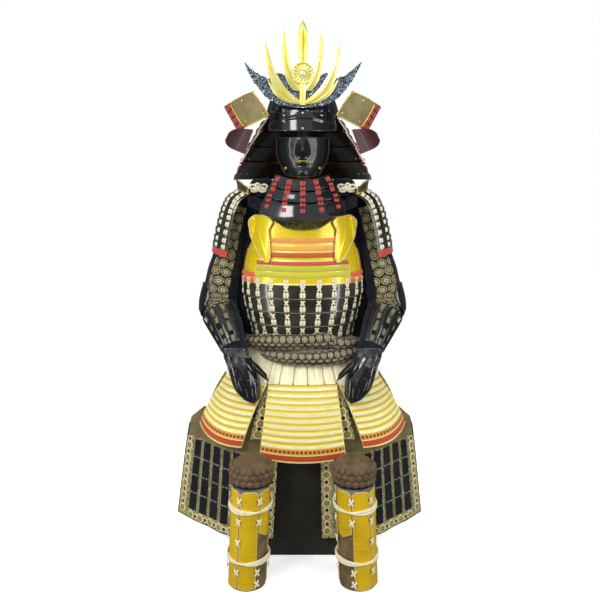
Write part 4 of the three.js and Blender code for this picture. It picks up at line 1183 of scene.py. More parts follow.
DARK_CLOTH = woven("dark hemp", (0.002, 0.003, 0.008), (0.007, 0.01, 0.022), 40.0, Sheen_Weight=0.1,
        Specular_IOR_Level=0.2)
for side, label in SIDES:
    def yoke_point(u, v, out=0.0):
        """Strap and wing in one: flat over the shoulder, then rising towards the shoulder guard."""
        along = 1 - 2 * v
        rise = 15 * np.maximum(0, (u - 0.6) / 0.4)
        quilt = (out * (0.3 + np.abs(np.sin(np.pi * 6 * v)) ** 0.5)
                * np.sin(np.pi * np.clip((u - 0.5) * 2, 0, 1)) ** 0.4)
        return np.stack([84 + 90 * u - 6 * along ** 2, AXIS_Y - 96 * along, 1142 - 40 * along ** 4 + rise
                + quilt], -1)
    strap = shell(f"strap {label}", part_of(yoke_point, 0.0, 0.6), 12, 40, 4, STRAP, mirrored=side,
            rounded=0.8)
    yoke = shell(f"yoke {label}", lambda u, v: yoke_point(0.58 + 0.42 * u, v, 3.0), 20, 96, 5, DARK_CLOTH,
            mirrored=side, rounded=0.8)
    fit(join(f"shoulder_strap_{label}_leather", [strap]), "strap_leather", f"shoulder_strap_{label}")
    fit(join(f"shoulder_wing_{label}", [yoke]), "brocade")
    loops = []
    heart = np.array([136, 22, 1168.0])
    for lift, turn, size in ((1, 25, 17), (-1, 155, 17), (1, 80, 13), (-1, -20, 14), (1, 200, 14)):
        t = np.linspace(0, 2 * np.pi, 26)
        reach = size * (1 - np.cos(t)) / 2 * 1.7
        swing = size * 0.55 * np.sin(t)
        a = math.radians(turn)
        path = heart + np.stack([reach * math.cos(a) - swing * math.sin(a), -4 - 3 * np.sin(t / 2) * lift,
                (reach * math.sin(a) + swing * math.cos(a)) * 0.72], -1)
        loops.append(tube("bow loop", path, 3.1, CREAM, lobes=3, pitch=9, mirrored=side))
    knot = dome("bow heart", 6.5, 6, 12, 4)
    loops.append(set_pieces("bow heart set", knot, [facing_front(-136 if side else 136, 20, 1168.0)],
            CREAM))
    for end in ((118, 40, 1147), (172, 52, 1158), (128, 70, 1147)):
        t = np.linspace(0, 1, 20)[:, None]
        path = heart + (np.array(end) - heart) * t + np.array([0, 0, -5]) * np.sin(np.pi * t)
        loops.append(tube("bow tail", path, 2.2, CREAM, lobes=3, pitch=7, mirrored=side))
    fit(join(f"shoulder_bow_{label}", loops), "silk_lacing")

# ---------- shoulder pads and underarm shade flap -----
# A small stuffed pad of dark hemp fills out each shoulder behind the bow. From the sleeve a loose flap
# of the same near-black hemp hangs between the arm and the body and closes the armpit, a dark sheet
# that stands in for the shade there.
def pad_point(u, v):
    turn, rise = 2 * np.pi * u, v * np.pi / 2
    spread = np.cos(rise) ** 0.36
    tuft = 1.5 * np.cos(5 * turn) * np.sin(2 * rise)
    return np.stack([126 + (43 + tuft) * spread * np.cos(turn), 68 + (42 + tuft) * spread * np.sin(turn),
            1144 + 55 * np.sin(rise) + 0 * turn], -1)


FLAP = np.array([(664, 164, 190), (735, 160, 202), (800, 168, 224), (876, 179, 217), (960, 176, 205),
        (985, 168, 200), (1010, 142, 196), (1040, 128, 194), (1080, 116, 194), (1134, 108, 196)], float)


def flap_point(u, v):
    z = 664 + 470 * v
    inner, outer = look_up(FLAP, z)
    head, outside = np.clip((z - 1080) / 54, 0, 1), np.clip(1 - 2.2 * u, 0, 1)
    return np.stack([outer + (inner - outer) * u, 72 - 10 * head + 3.5 * np.sin(9 * u + z / 60),
            z + 24 * outside * head], -1)


for side, label in SIDES:
    pad = fit(shell(f"shoulder_pad_{label}", pad_point, 60, 16, 2.2, DARK_CLOTH, closed=True,
            mirrored=side), "brocade")
    # The near-black flap stands in for the shade between the arm and the body.
    flap = fit(shell(f"underarm_cloth_{label}", flap_point, 16, 90, 1.8, DARK_CLOTH, mirrored=side,
            rounded=0.4), "brocade")

# ---------- shoulder guards ----------
# Curved guards of narrow dark lames, laced in columns of cream silk tapes and closed below by a
# broad red band; a dark leather-covered cap plate with a gilt rim stands along the head.
SODE = np.array([(968, 291, 64), (1011, 283, 62), (1071, 269, 60), (1118, 253, 56), (1150, 231, 52),
        (1172, 192, 44)], float)
SODE_ROWS = 11


def sode_point(u, v):
    z = smooth(v * (len(SODE) - 1), np.arange(len(SODE)), SODE[:, 0])
    outer, turn = look_up(SODE, z)
    angle = np.radians(-80 + 160 * u)
    x = outer - turn * (1 - np.cos(angle))
    return np.stack([x, 90 + 76 * np.sin(angle), z - 18 * (1 - np.cos(angle))], -1)


def sode_lames(u, v):
    """The guard's surface with the step of each lame, their feet standing out."""
    row = np.clip(((v - 0.1) / 0.9) * SODE_ROWS, 0, SODE_ROWS - 1e-6)
    step = 2.2 * (1 - (row % 1)) * (v > 0.1)
    angle = np.radians(-80 + 160 * u)
    return sode_point(u, v) + np.stack([step * np.cos(angle), step * np.sin(angle), 0 * step], -1)


cap_leather = lacquer("cap plate leather", (0.03, 0.03, 0.015), (0.07, 0.065, 0.03), (0.3, 0.22, 0.08),
        0.35)
OLIVE_LAME = lacquer("olive black lacquer", (0.008, 0.012, 0.01), (0.022, 0.028, 0.022),
        (0.12, 0.1, 0.06), 0.25)
sode_tapes = []
for side, label in SIDES:
    guard = shell(f"guard {label}", sode_lames, 60, 99, 3, OLIVE_LAME, mirrored=side, smooth_angle=30)
    hem = shell(f"guard hem {label}", part_of(sode_point, 0.0, 1.0, 0.0, 0.105, out=2.0), 150, 5, 1.4,
            RED_TAPE, mirrored=side, rounded=0.4)
    cap_path = part_of(sode_point, 0.0, 0.8, 0.93, 1.0, out=3.0)

    def cap_point(u, v):
        low = cap_path(u, 0.0 * v)
        rise = 22 + 8 * np.sin(np.pi * u)
        lean = 10 * v * v
        return low + np.stack([lean * np.cos(np.radians(-80 + 128 * u)) * 0.6, -lean * 0.3, rise * v], -1)
    cap = shell(f"guard cap {label}", cap_point, 40, 8, 2.0, cap_leather, mirrored=side, rounded=0.4)
    cap_rim = rim_of(cap_point, 24, 1.5, GOLD_RIM, side)
    fit(join(f"shoulder_guard_{label}_plates", [guard, hem, cap, cap_rim]), "black_lacquer",
        f"shoulder_guard_{label}")
    for angle in (-66, -39, 0, 39, 66):
        rows = 0.1 + 0.9 * (np.arange(SODE_ROWS - 1) + 0.55) / SODE_ROWS
        sode_tapes.append(on_surface(sode_point, (angle + 80) / 160, rows, 2.0, (0.92, 0.86, 1.1), side))
fit(set_pieces("shoulder_guard_lacing", DOUBLE_TAPE, sode_tapes, CREAM, 1.0, 2.0, 11), "silk_lacing")

# ---------- sleeves ----------
# Armoured sleeves of dark cloth with bands of flower medallions, worked in folds at the elbow. Long
# lacquered splints are sewn to the forearm, with brocade between them and mail over the wrist.
ARM = np.array([(198, 94, 1112, 42), (221, 92, 1040, 46), (236, 88, 965, 47), (255, 80, 896, 54),
        (268, 66, 810, 57), (257, 34, 767, 55), (234, -14, 732, 48), (213, -52, 694, 39),
        (204, -72, 668, 35)], float)
ELBOW = 0.5


def arm_line(along):
    return np.stack([smooth(along * (len(ARM) - 1), np.arange(len(ARM)), ARM[:, k]) for k in range(3)], -1)


def arm_point(along, angle, out=0.0):
    along, angle, out = np.broadcast_arrays(along, angle, out)
    e = 2e-3
    line = unit(arm_line(np.minimum(along + e, 1)) - arm_line(np.maximum(along - e, 0)))
    outer = unit(np.array([1.0, 0, 0]) - line * line[..., :1])
    front = np.cross(line, outer)
    r = (np.interp(along * (len(ARM) - 1), np.arange(len(ARM)), ARM[:, 3]) + out)[..., None]
    a = np.radians(angle)[..., None]
    return arm_line(along) + outer * r * np.cos(a) + front * r * np.sin(a)


def folds(along, angle, strength):
    """Soft creases that run round the sleeve and gather inside the elbow."""
    near = bell(along - ELBOW, 0.22)
    inner = 0.5 - 0.5 * np.cos(np.radians(angle))
    wave = np.sin(along * 70 + 1.6 * np.sin(np.radians(angle * 2 + 40)) + 0.8
            * np.sin(np.radians(angle * 3)))
    slack = np.sin(along * 23 + 2.2 * np.sin(np.radians(angle + 70)))
    return strength * (wave * (0.25 + 0.75 * near * inner) + 0.8 * slack)


SLEEVE_SILK = brocade("sleeve brocade", ((0.003, 0.004, 0.008), (0.009, 0.012, 0.02)), (0.62, 0.54, 0.24),
        (0.6, 0.56, 0.3), (0.5, 0.36, 0.2), pitch=0.031, radius=0.45, petals=9.0, leaf_share=0.2,
        shift=(0.0, 0.006, 0.0), disc_tone=(0.03, 0.035, 0.02))
PATCH_SILK = brocade("forearm patch silk", ((0.2, 0.19, 0.1), (0.3, 0.28, 0.16)), (0.5, 0.45, 0.25),
        (0.38, 0.36, 0.12), (0.4, 0.26, 0.16), pitch=0.0135, radius=0.46, petals=5.0,
        leaf_tone=(0.06, 0.07, 0.03), disc_tone=(0.1, 0.1, 0.05))


def sleeve_part(name, first, last, side, steps):
    """One tube of sleeve: brocade over the front and inner half, plain dark cloth outside."""
    made = shell(name, lambda u, v: arm_point(last + (first - last) * v, 180 - 360 * u,
            folds(last + (first - last) * v, 180 - 360 * u, 1.2)), 96, steps, 2.0, DARK_CLOTH,
            closed=True, mirrored=side)
    made.data.materials.append(SLEEVE_SILK)
    co = np.array([p.center for p in made.data.polygons]) / MM
    co[:, 0] = np.abs(co[:, 0])
    away = co - arm_line(np.interp(-co[:, 2], -ARM[:, 2], np.linspace(0, 1, len(ARM))))
    outside, front = (away[:, :2] / np.maximum(np.linalg.norm(away[:, :2], axis=1), 1)[:, None] * (1, -1)).T
    index = (front > 0.5) & (outside < 0.7) & (outside > -0.55) & (co[:, 2] > 756)
    made.data.polygons.foreach_set("material_index", index.astype(int))
    return made


for side, label in SIDES:
    upper = sleeve_part(f"sleeve_upper_{label}_cloth", 0.0, ELBOW - 0.004, side, 90)
    lower = sleeve_part(f"sleeve_lower_{label}_cloth", ELBOW + 0.004, 1.0, side, 80)
    fit(upper, "brocade", f"sleeve_upper_{label}")
    fit(lower, "brocade", f"sleeve_lower_{label}")

ELBOW_RIBS = 5
splint_rivets, forearm_patches, mail_rings = [], [], []
for side, label in SIDES:
    def elbow_point(u, v):
        s, t = 2 * u - 1, 1 - 2 * v
        lift = 4.5 + 7.5 * np.interp(t, [-1, 0.2, 0.6, 1], [0, 0.7, 1, 0.6]) * (1 - s * s) ** 0.7
        flute = 1.0 * np.abs(np.sin(np.pi * ELBOW_RIBS * u)) * (1 - t * t)
        return arm_point(ELBOW + 0.07 * t, -62 * s * np.sqrt(1 - 0.45 * t * t), lift + flute)
    elbow = shell(f"elbow {label}", elbow_point, 50, 30, 2.5, BLACK, mirrored=side, rounded=0.5)
    elbow_rim = rim_of(elbow_point, 24, 1.6, BLACK, side)
    fit(join(f"elbow_plate_{label}_lacquer", [elbow, elbow_rim]), "black_lacquer", f"elbow_plate_{label}")
    splints = []
    for k in range(7):
        middle = -108 + 36 * k

        def splint_point(u, v):
            s, along = 2 * u - 1, 0.925 - 0.315 * v
            tip = np.sqrt(np.clip(1 - (np.abs(2 * v - 1) ** 8), 0, 1))
            return arm_point(along, middle - 10.5 * s * (0.35 + 0.65 * tip), 5.8 + 2.8 * (1 - s * s) ** 0.5)
        splints.append(shell(f"splint {k}", splint_point, 12, 40, 1.6, BLACK, mirrored=side))
        splint_rivets.append(on_surface(splint_point, 0.5, (0.05, 0.95), 0.1, 0.6, side))
    rows = 0.655 + 0.075 * np.arange(4)
    for gap in (-90, -54, -18, 18, 54, 90):
        def lining(u, v):
            return arm_point(0.92 - 0.3 * v, gap - 7.5 * (2 * u - 1), 3.0)
        forearm_patches.append(on_surface(lining, 0.5, (0.92 - rows) / 0.3, 0.2, (0.86, 1.25, 0.9), side))
    for along in (0.617, 0.92):
        ends = arm_point(along, np.linspace(-116, 116, 60), 5.4)
        splints.append(tube("splint binding", ends, 2.0, BLACK, mirrored=side))
    fit(join(f"forearm_splints_{label}_lacquer", splints), "black_lacquer", f"forearm_splints_{label}")
fit(set_pieces("forearm_rivets", RIVET, splint_rivets, SILVER), "gilt_brass")
PATCH = tape_block("forearm patch", 1, 15, 16, 1.2)
fit(set_pieces("forearm_brocade_patches", PATCH, forearm_patches, PATCH_SILK, 1.0, 2.0, 21), "brocade")

# ---------- mail cuffs ----------
# Fine black mail over dark cloth joins each sleeve to its hand plate and covers the wrist.
CUFF = np.array([(0.0, 212, -56, 692, 38, 37), (0.25, 205, -73, 672, 38, 35),
        (0.5, 203, -86, 660, 37, 30), (0.75, 197, -98, 645, 36, 25), (1.0, 190, -103, 622, 34, 22)],
        float)


def cuff_point(u, v):
    """From inside the sleeve end, v = 1, down to the middle of the hand plate, v = 0."""
    t = 1 - v
    x, y, z, wide, deep = [np.interp(t, CUFF[:, 0], CUFF[:, k]) for k in range(1, 6)]
    turn = 2 * np.pi * u
    tilt = 16 * (1 - t) ** 2
    pucker = 0.8 * np.sin(9 * turn + 3 * v) * np.sin(np.pi * v)
    return np.stack([x + (wide + pucker) * np.sin(turn), y - (deep + pucker) * np.cos(turn),
            z + tilt * np.cos(turn) + 0 * turn], -1)


MAIL = plain_finish("mail", (0.1, 0.11, 0.12), (0.42, 0.42, 0.43), (0.25, 0.45), metallic=0.9, cloud=60.0,
        edge=0.0)


def link(name, radius, wire):
    """One round link of mail, flat on z = 0."""
    turns, sides = 9, 3
    a, b = np.meshgrid(np.arange(turns) * 2 * np.pi / turns, np.arange(sides) * 2 * np.pi / sides,
            indexing="ij")
    points = np.stack([(radius + wire * np.cos(b)) * np.cos(a), (radius + wire * np.cos(b)) * np.sin(a),
            wire * np.sin(b)], -1).reshape(-1, 3)
    faces = [(i * sides + j, (i + 1) % turns * sides + j, (i + 1) % turns * sides + (j + 1) % sides,
            i * sides + (j + 1) % sides) for i in range(turns) for j in range(sides)]
    return make_object(name, points, faces, None, np.zeros((4 * len(faces), 2)), None, 80)


LINK = link("mail link", 3.0, 0.75)
for side, label in SIDES:
    cuff = fit(shell(f"wrist_cuff_{label}_cloth", cuff_point, 60, 24, 1.6, DARK_CLOTH, closed=True,
            mirrored=side), "brocade")
    for row in range(11):
        u = (np.arange(38) + 0.5 * (row % 2)) / 38
        mail_rings.append(on_surface(cuff_point, u, 0.04 + 0.078 * row, 0.7, mirrored=side))
fit(set_pieces("wrist_mail", LINK, mail_rings, MAIL, 1.0, 12.0, 23), "black_lacquer")

# ---------- hand plates ----------
# One embossed plate covers the back of each hand: fluted over the fingers, with two rows of knuckle
# bosses. A smaller plate guards the thumb.
HAND = np.array([(534, 163, -138, 18, 10), (546, 165, -140, 32, 20), (572, 171, -138, 41, 26),
        (608, 178, -132, 45, 28), (642, 190, -124, 45, 30), (668, 202, -116, 42, 32)], float)


def hand_point(u, v):
    z = smooth(v * (len(HAND) - 1), np.arange(len(HAND)), HAND[:, 0])
    x, y, half, arch = look_up(HAND, z)
    angle = np.radians(-90 + 180 * u)
    finger = (2.6 * np.abs(np.sin(np.pi * 4 * (0.5 + 0.5 * np.sin(angle)))) ** 0.6
            * np.clip(1.2 - np.abs(v - 0.28) * 3.2, 0, 1))
    return np.stack([x + half * np.sin(angle), y + arch * (1 - np.cos(angle)) - finger * np.cos(angle),
            z + 8 * np.sin(angle)], -1)


BOSS = dome("boss", 4.6, 4.2, 12, 4)
bosses = []
for side, label in SIDES:
    hand = shell(f"hand {label}", hand_point, 72, 40, 2.5, BLACK, mirrored=side, rounded=0.4)
    hand_rim = rim_of(hand_point, 30, 1.6, BLACK, side)
    across = np.array([0.24, 0.41, 0.58, 0.75])
    bosses.append(on_surface(hand_point, across, 0.56, 0.2, mirrored=side))
    bosses.append(on_surface(hand_point, across + 0.06, 0.68, 0.2, 0.8, side))

    def thumb_point(u, v):
        angle = np.radians(-80 + 160 * v)
        half = 11 + 4 * np.minimum(2 * u, 1)
        ridge = 1.6 * bell(v - 0.5, 0.12)
        return np.stack([106 + 43 * u + 3 * np.sin(angle), -146 + 10 * (1 - np.cos(angle)) + 8 * (1 - u)
                - ridge, 606 + 44 * u + half * np.sin(angle)], -1)
    thumb = shell(f"thumb {label}", thumb_point, 24, 24, 2.2, BLACK, mirrored=side, rounded=0.4)
    thumb_rim = rim_of(thumb_point, 16, 1.3, BLACK, side)
    fit(join(f"hand_plate_{label}_lacquer", [hand, hand_rim]), "black_lacquer", f"hand_plate_{label}")
    fit(join(f"thumb_plate_{label}_lacquer", [thumb, thumb_rim]), "black_lacquer", f"thumb_plate_{label}")
fit(set_pieces("hand_bosses", BOSS, bosses, BLACK), "black_lacquer")

# ---------- lacing skirt ----------
# The tassets hang from the body armour by long cream silk cords, side by side all round the waist,
# with dark slits between the groups.
SKIRT_FOOT, SKIRT_HEAD = 578, 696


def skirt_point(angle, v, out=0.0):
    angle, v = np.broadcast_arrays(angle, v)
    return ring_point(angle, SKIRT_FOOT + (SKIRT_HEAD - SKIRT_FOOT) * v, 250 - 88 * v + out,
            172 - 46 * v + out, 62 + (AXIS_Y - 62) * v)


SKIRT_CORDS = 300
SKIRT_SLITS = (0.012, 0.048, 0.071, 0.11, 0.165, 0.24, 0.31, 0.36, 0.44, 0.5, 0.58, 0.66, 0.72, 0.81,
        0.885, 0.925, 0.954, 0.985)
f = Finish("skirt silk", cloud=60.0, grain=900.0, edge=0.0)
strand = f.noise(f.node("ShaderNodeMapping", {"Vector": f.uv, "Scale": (260.0, 9.0, 1.0)}), 1.0, 3.0)
f.paint(f.mix(f.step(strand, 0.3, 0.62), (0.78, 0.68, 0.36), (1.0, 0.96, 0.72)), (0.55, 0.8), strand, 0.4,
        0.0006, Sheen_Weight=0.4)
SKIRT_SILK = f.material


def skirt_cords(u, v):
    cord = np.abs(np.sin(np.pi * SKIRT_CORDS * u))
    drift = u + 0.004 * (1 - v) * np.sin(40 * u)
    slit = sum(bell(((drift - at + 0.5) % 1) - 0.5, 0.0016) for at in SKIRT_SLITS)
    return skirt_point(360 * u, v, 1.6 * cord ** 0.6 - 13 * slit + 0.8 * np.sin(2 * np.pi * u * 37 + 3 * v))


fit(shell("hanging_cords", skirt_cords, SKIRT_CORDS * 5, 6, 2.2, SKIRT_SILK, closed=True, smooth_angle=80),
    "silk_lacing", "lacing_skirt")

# ---------- sash ----------
# A long padded sash of figured grey-brown silk is wound twice round the waist, one roll over the
# other, and knotted in front; the ends of its tying cords show at both sides.
SASH_SILK = brocade("sash brocade", ((0.03, 0.022, 0.016), (0.085, 0.064, 0.05)), (0.95, 0.88, 0.55),
        (0.75, 0.62, 0.25), (0.6, 0.52, 0.3), pitch=0.021, radius=0.37, petals=4.0, leaf_share=0.0,
        disc_tone=(0.035, 0.024, 0.014), leaf_tone=(0.3, 0.24, 0.12))
SASH_UPPER = ((-88, 676, 13), (-68, 686, 18), (-44, 693, 21), (-20, 699, 22), (5, 702, 22), (22, 705, 25),
        (38, 699, 14))
SASH_LOWER = ((-38, 660, 12), (-25, 657, 18), (0, 655, 20), (25, 656, 21), (48, 661, 20), (70, 667, 17),
        (88, 671, 13))


def sash_roll(name, rows, phase):
    rows = np.array(rows, float)
    angle = np.linspace(rows[0, 0], rows[-1, 0], 90)
    z, r = look_up(rows, angle)
    height = (z - SKIRT_FOOT) / (SKIRT_HEAD - SKIRT_FOOT)
    path = np.stack([skirt_point(a, h, q + (13 if h > 0.9 else 6)) for a, h, q in zip(angle, height, r)])
    path[:, 2] = z
    sides, rings = 28, []
    tangent = unit(np.gradient(path, axis=0))
    for k in range(len(path)):
        a = np.cross(tangent[k], (0, 0, 1))
        a /= np.linalg.norm(a)
        b = np.cross(a, tangent[k])
        turn = np.linspace(0, 2 * np.pi, sides, endpoint=False)
        twist = turn * 2 + angle[k] / 16 + phase
        crease = (0.1 * np.sin(twist) + 0.06 * np.sin(turn * 5 - angle[k] / 7) + 0.03
                * np.sin(turn * 9 + angle[k] / 3))
        q = r[k] * (1.08 + crease) * (0.35 + 0.65 * min(1, 6 * min(k + 1, len(path) - k)
                / len(path)) ** 0.5)
        rings.append(path[k] + (q * np.cos(turn))[:, None] * a + (q * np.sin(turn))[:, None] * b)
    return skin(name, np.array(rings), distances(path), np.full(len(path), 2 * np.pi * 18), SASH_SILK,
            along_first=True)


SASH_END = ((18, 694, 14), (30, 690, 20), (44, 685, 20), (60, 682, 18), (76, 678, 14), (88, 676, 11))
for name, rows, phase in (("upper", SASH_UPPER, 0.0), ("lower", SASH_LOWER, 2.0), ("end", SASH_END, 4.0)):
    roll = sash_roll(f"sash_{name}_roll", rows, phase)
    fit(roll, "sash_silk", *([] if name == "end" else [f"sash_{name}"]))

sash_cords = []
for side, (a0, a1, z) in enumerate(((-80, -62, 672), (64, 82, 668))):
    t = np.linspace(0, 1, 40)
    drop = 34 * np.sin(np.pi * t)
    path = np.stack([skirt_point(a, max(0, (h - SKIRT_FOOT) / 118), 9) for a, h in zip(a0 + (a1 - a0) * t,
            z - drop)])
    sash_cords.append(tube("sash cord", path, 2.0, CREAM, lobes=3, pitch=7))
fit(join("sash_cord_loops", sash_cords), "silk_lacing")

# ---------- tassets ----------
# Panels of laced lames hang round the hips. Each lame is covered by close cream silk
# cords; a strip of its gold lacquer shows with the row of lacing holes; the last two lames are
# laced in orange and red over a gilt edge.
TASSET_RED, TASSET_ORANGE, TASSET_ROWS = 0.0045, 0.0225, 0.042      # where each kind of lacing starts
TASSET_PITCH, TASSET_CORD, TASSET_HOLES, TASSET_SPOT = 0.0207, 0.0042, 0.0062, 0.0122


def build_tasset_silk():
    f = Finish("tasset lacing", cloud=60.0, grain=900.0, edge=0.0)
    parts = f.node("ShaderNodeSeparateXYZ", {0: f.uv}, out=None).outputs
    up, across = parts[1], parts[0]
    wave = f.calc("SINE", f.times(across, math.pi / TASSET_HOLES))
    scallop = f.times(f.calc("ABSOLUTE", wave), 0.0016)
    row = f.calc("FRACT", f.calc("DIVIDE", f.calc("SUBTRACT", f.plus(up, scallop), TASSET_ROWS),
            TASSET_PITCH))
    cord_dip = f.step(f.from_middle(across, TASSET_CORD), 0.5, 0.3)
    dot_at = f.calc("ABSOLUTE", f.calc("SUBTRACT", row, 0.8))
    dots = f.times(f.step(dot_at, 0.09, 0.05), f.step(f.from_middle(across, TASSET_HOLES), 0.3, 0.2))
    gold_strip = f.times(f.step(row, 0.48, 0.52), f.step(row, 0.995, 0.965))
    # The cream is painted dark tan between the cords: painted shade in the grooves.
    cream = f.mix(cord_dip, (0.6, 0.5, 0.16), f.vary((0.88, 0.81, 0.42), (0.97, 0.93, 0.66)))
    # The gold strip is painted darker towards its top, under the raised cords of the next row: painted
    # shade. The dark dots are the lacing holes.
    gold = f.mix(dots, f.mix(f.step(row, 0.72, 0.92), (0.8, 0.62, 0.03), (0.55, 0.39, 0.01)),
            (0.3, 0.2, 0.006))
    body = f.mix(gold_strip, cream, gold)
    spot_x = f.from_middle(across, TASSET_SPOT)
    spot_y = f.calc("DIVIDE", f.calc("SUBTRACT", up, 0.0325), TASSET_SPOT)
    spot = f.step(f.calc("SQRT", f.calc("MULTIPLY_ADD", spot_x, spot_x, f.times(spot_y, spot_y))), 0.42,
            0.34)
    orange = f.mix(spot, (0.72, 0.33, 0.015), (0.17, 0.04, 0.004))
    # The red cords are painted darker along their sides: painted shade in the grooves between them.
    red = f.mix(f.step(f.from_middle(across, 2 * TASSET_CORD), 0.5, 0.4), (0.2, 0.014, 0.004),
            (0.5, 0.05, 0.016))
    edge = (0.8, 0.52, 0.08)
    line = f.times(f.step(up, 0.0212, 0.0218), f.step(up, 0.0242, 0.0236))
    colour = f.mix(f.calc("GREATER_THAN", up, TASSET_ROWS), orange, body)
    colour = f.mix(f.calc("LESS_THAN", up, TASSET_ORANGE), colour, red)
    colour = f.mix(line, colour, (0.95, 0.8, 0.3))
    colour = f.mix(f.calc("LESS_THAN", up, TASSET_RED), colour, edge)
    f.paint(colour, (0.5, 0.75), f.plus(f.grain, cord_dip), 0.3, 0.0006, Sheen_Weight=0.3)
    return f.material


TASSET_SILK = build_tasset_silk()


def tasset_surface(first, last, foot_a, foot_b, belly):
    a, b = np.array(foot_a, float), np.array(foot_b, float)
    out = unit(np.array([b[1] - a[1], a[0] - b[0], 0.0]))

    def point(u, v):
        u, v = np.broadcast_arrays(u, v)
        head = skirt_point(first + (last - first) * u, 0 * v, 1.0)
        head = head - np.array([0, 0, 0.6])
        arch = (4 * u * (1 - u))[..., None]
        foot = a + (b - a) * u[..., None] + out * belly * arch - np.array([0, 0, 10.0]) * arch
        return foot + (head - foot) * v[..., None] + out * (10 * np.sin(np.pi * v))[..., None]
    return point


def laced_tasset(name, surface, node, mirrored=False):
    """Cords stand up in ridges over every lame; the lacquer strips and the edge lie lower."""
    middle, width = [distances(runs_of(surface, run))[-1] for run in ((0.5, 0, 0.5, 1, 30),
            (0, 0.5, 1, 0.5, 30))]
    cords = int(width * MM / TASSET_CORD)

    def point(u, v):
        up = v * middle
        row = ((up / 1000 - TASSET_ROWS) / TASSET_PITCH) % 1
        laced = np.where(up > TASSET_ROWS * 1000, np.clip(1 - np.abs(row - 0.28) / 0.34, 0, 1) ** 0.4, 0.7)
        laced = np.where(up < 4.5, 0.1, laced)
        ridge = np.abs(np.sin(np.pi * cords * u)) ** 0.7
        out = unit(np.cross(*slopes(surface, u, v)))
        return surface(u, v) + out * (2.6 * laced + 0.9 * laced * ridge)[..., None]
    panel = shell(name, point, cords * 4, 66, 3.0, TASSET_SILK, mirrored=mirrored, smooth_angle=80)
    rim = tube("tasset rim", runs_of(surface, (0, 1, 0, 0, 30), (0, 0, 1, 0, 40), (1, 0, 1, 1, 30)), 1.9,
            PALE_RIM, 6, mirrored=mirrored)
    return fit(join(name, [panel, rim]), "silk_lacing", node)


laced_tasset("front_tasset", tasset_surface(-24.4, 24.4, (-131, -148, 358), (131, -148, 358), 16),
        "tasset_front")
laced_tasset("back_tasset", tasset_surface(154, 206, (150, 284, 390), (-150, 284, 390), 2), "tasset_back")
for side, label in SIDES:
    laced_tasset(f"side_tasset_{label}", tasset_surface(26, 76, (189, -128, 384), (330, -16, 427), 30),
            f"tasset_side_{label}", side)
    laced_tasset(f"rear_tasset_{label}", tasset_surface(85, 152, (322, 78, 418), (226, 270, 398), 26),
            f"tasset_rear_{label}", side)

# ---------- thigh guards ----------
# A split apron of brown cloth hangs under the tassets. Each half has a plain upper part, then columns
# of small black plates joined by white knots between strips of brocade, inside a brocade border of
# round medallions. A narrow strip of the border runs up under the gap between the tassets.
THIGH_PLAN = np.array([(0, 72, -102, 100, -112), (0.35, 190, -100, 210, -105), (0.52, 236, -70, 262, -72),
        (0.82, 322, 16, 368, 18), (1, 370, 48, 432, 75)], float)
THIGH_HEAD, THIGH_HEM = 470, 72
BORDER_SILK = brocade("border brocade", ((0.006, 0.007, 0.004), (0.018, 0.018, 0.01)), (0.78, 0.72, 0.36),
        (0.5, 0.44, 0.16), (0.5, 0.32, 0.14), pitch=0.021, radius=0.45, petals=6.0, stagger=0.0,
        disc_tone=(0.3, 0.26, 0.1))
STRIP_SILK = brocade("strip brocade", ((0.008, 0.009, 0.005), (0.02, 0.02, 0.01)), (0.8, 0.74, 0.4),
        (0.6, 0.54, 0.24), (0.5, 0.42, 0.18), pitch=0.014, radius=0.34, petals=5.0)
HEMP = woven("brown hemp", (0.17, 0.125, 0.038), (0.26, 0.195, 0.07), 22.0, (0.07, 0.045, 0.018),
        Sheen_Weight=0.25)
MEDAL = dome("border medallion", 13.4, 1.2, 18, 3)
SQUARE = dome("border square", 11.0, 1.0, 4, 2, turned=0.25 * np.pi)
MEDAL_SILKS = []
for name, fill, rim in (("olive medallion", (0.36, 0.32, 0.07), (0.86, 0.8, 0.42)),
        ("rose medallion", (0.46, 0.27, 0.11), (0.86, 0.78, 0.42)),
        ("square figure", (0.02, 0.022, 0.012), (0.86, 0.82, 0.46))):
    f = Finish(name, cloud=200.0, grain=900.0, edge=0.0)
    middle = f.node("ShaderNodeVectorMath", {0: f.uv}, out="Value", operation="LENGTH")
    size = 0.0079 if name[0] == "s" else 0.0132
    figure = f.noise(f.uv, 520.0, 2.0)
    f.paint(f.mix(f.step(middle, size * 0.74, size * 0.82), f.mix(f.step(figure, 0.45, 0.55),
            tuple(0.6 * c for c in fill), fill), rim), (0.55, 0.75), f.plus(f.grain, figure), 0.4, 0.0005)
    MEDAL_SILKS.append(f.material)


def outline(point, u0, v0, u1, v1, pitch):
    """Places spaced evenly along a straight run of a surface."""
    t = np.linspace(0, 1, 60)
    u, v = u0 + (u1 - u0) * t, v0 + (v1 - v0) * t
    way = distances(point(u, v))
    count = max(1, int(round(way[-1] / pitch)))
    at = np.interp((np.arange(count) + 0.5) / count * way[-1], way, t)
    return u0 + (u1 - u0) * at, v0 + (v1 - v0) * at


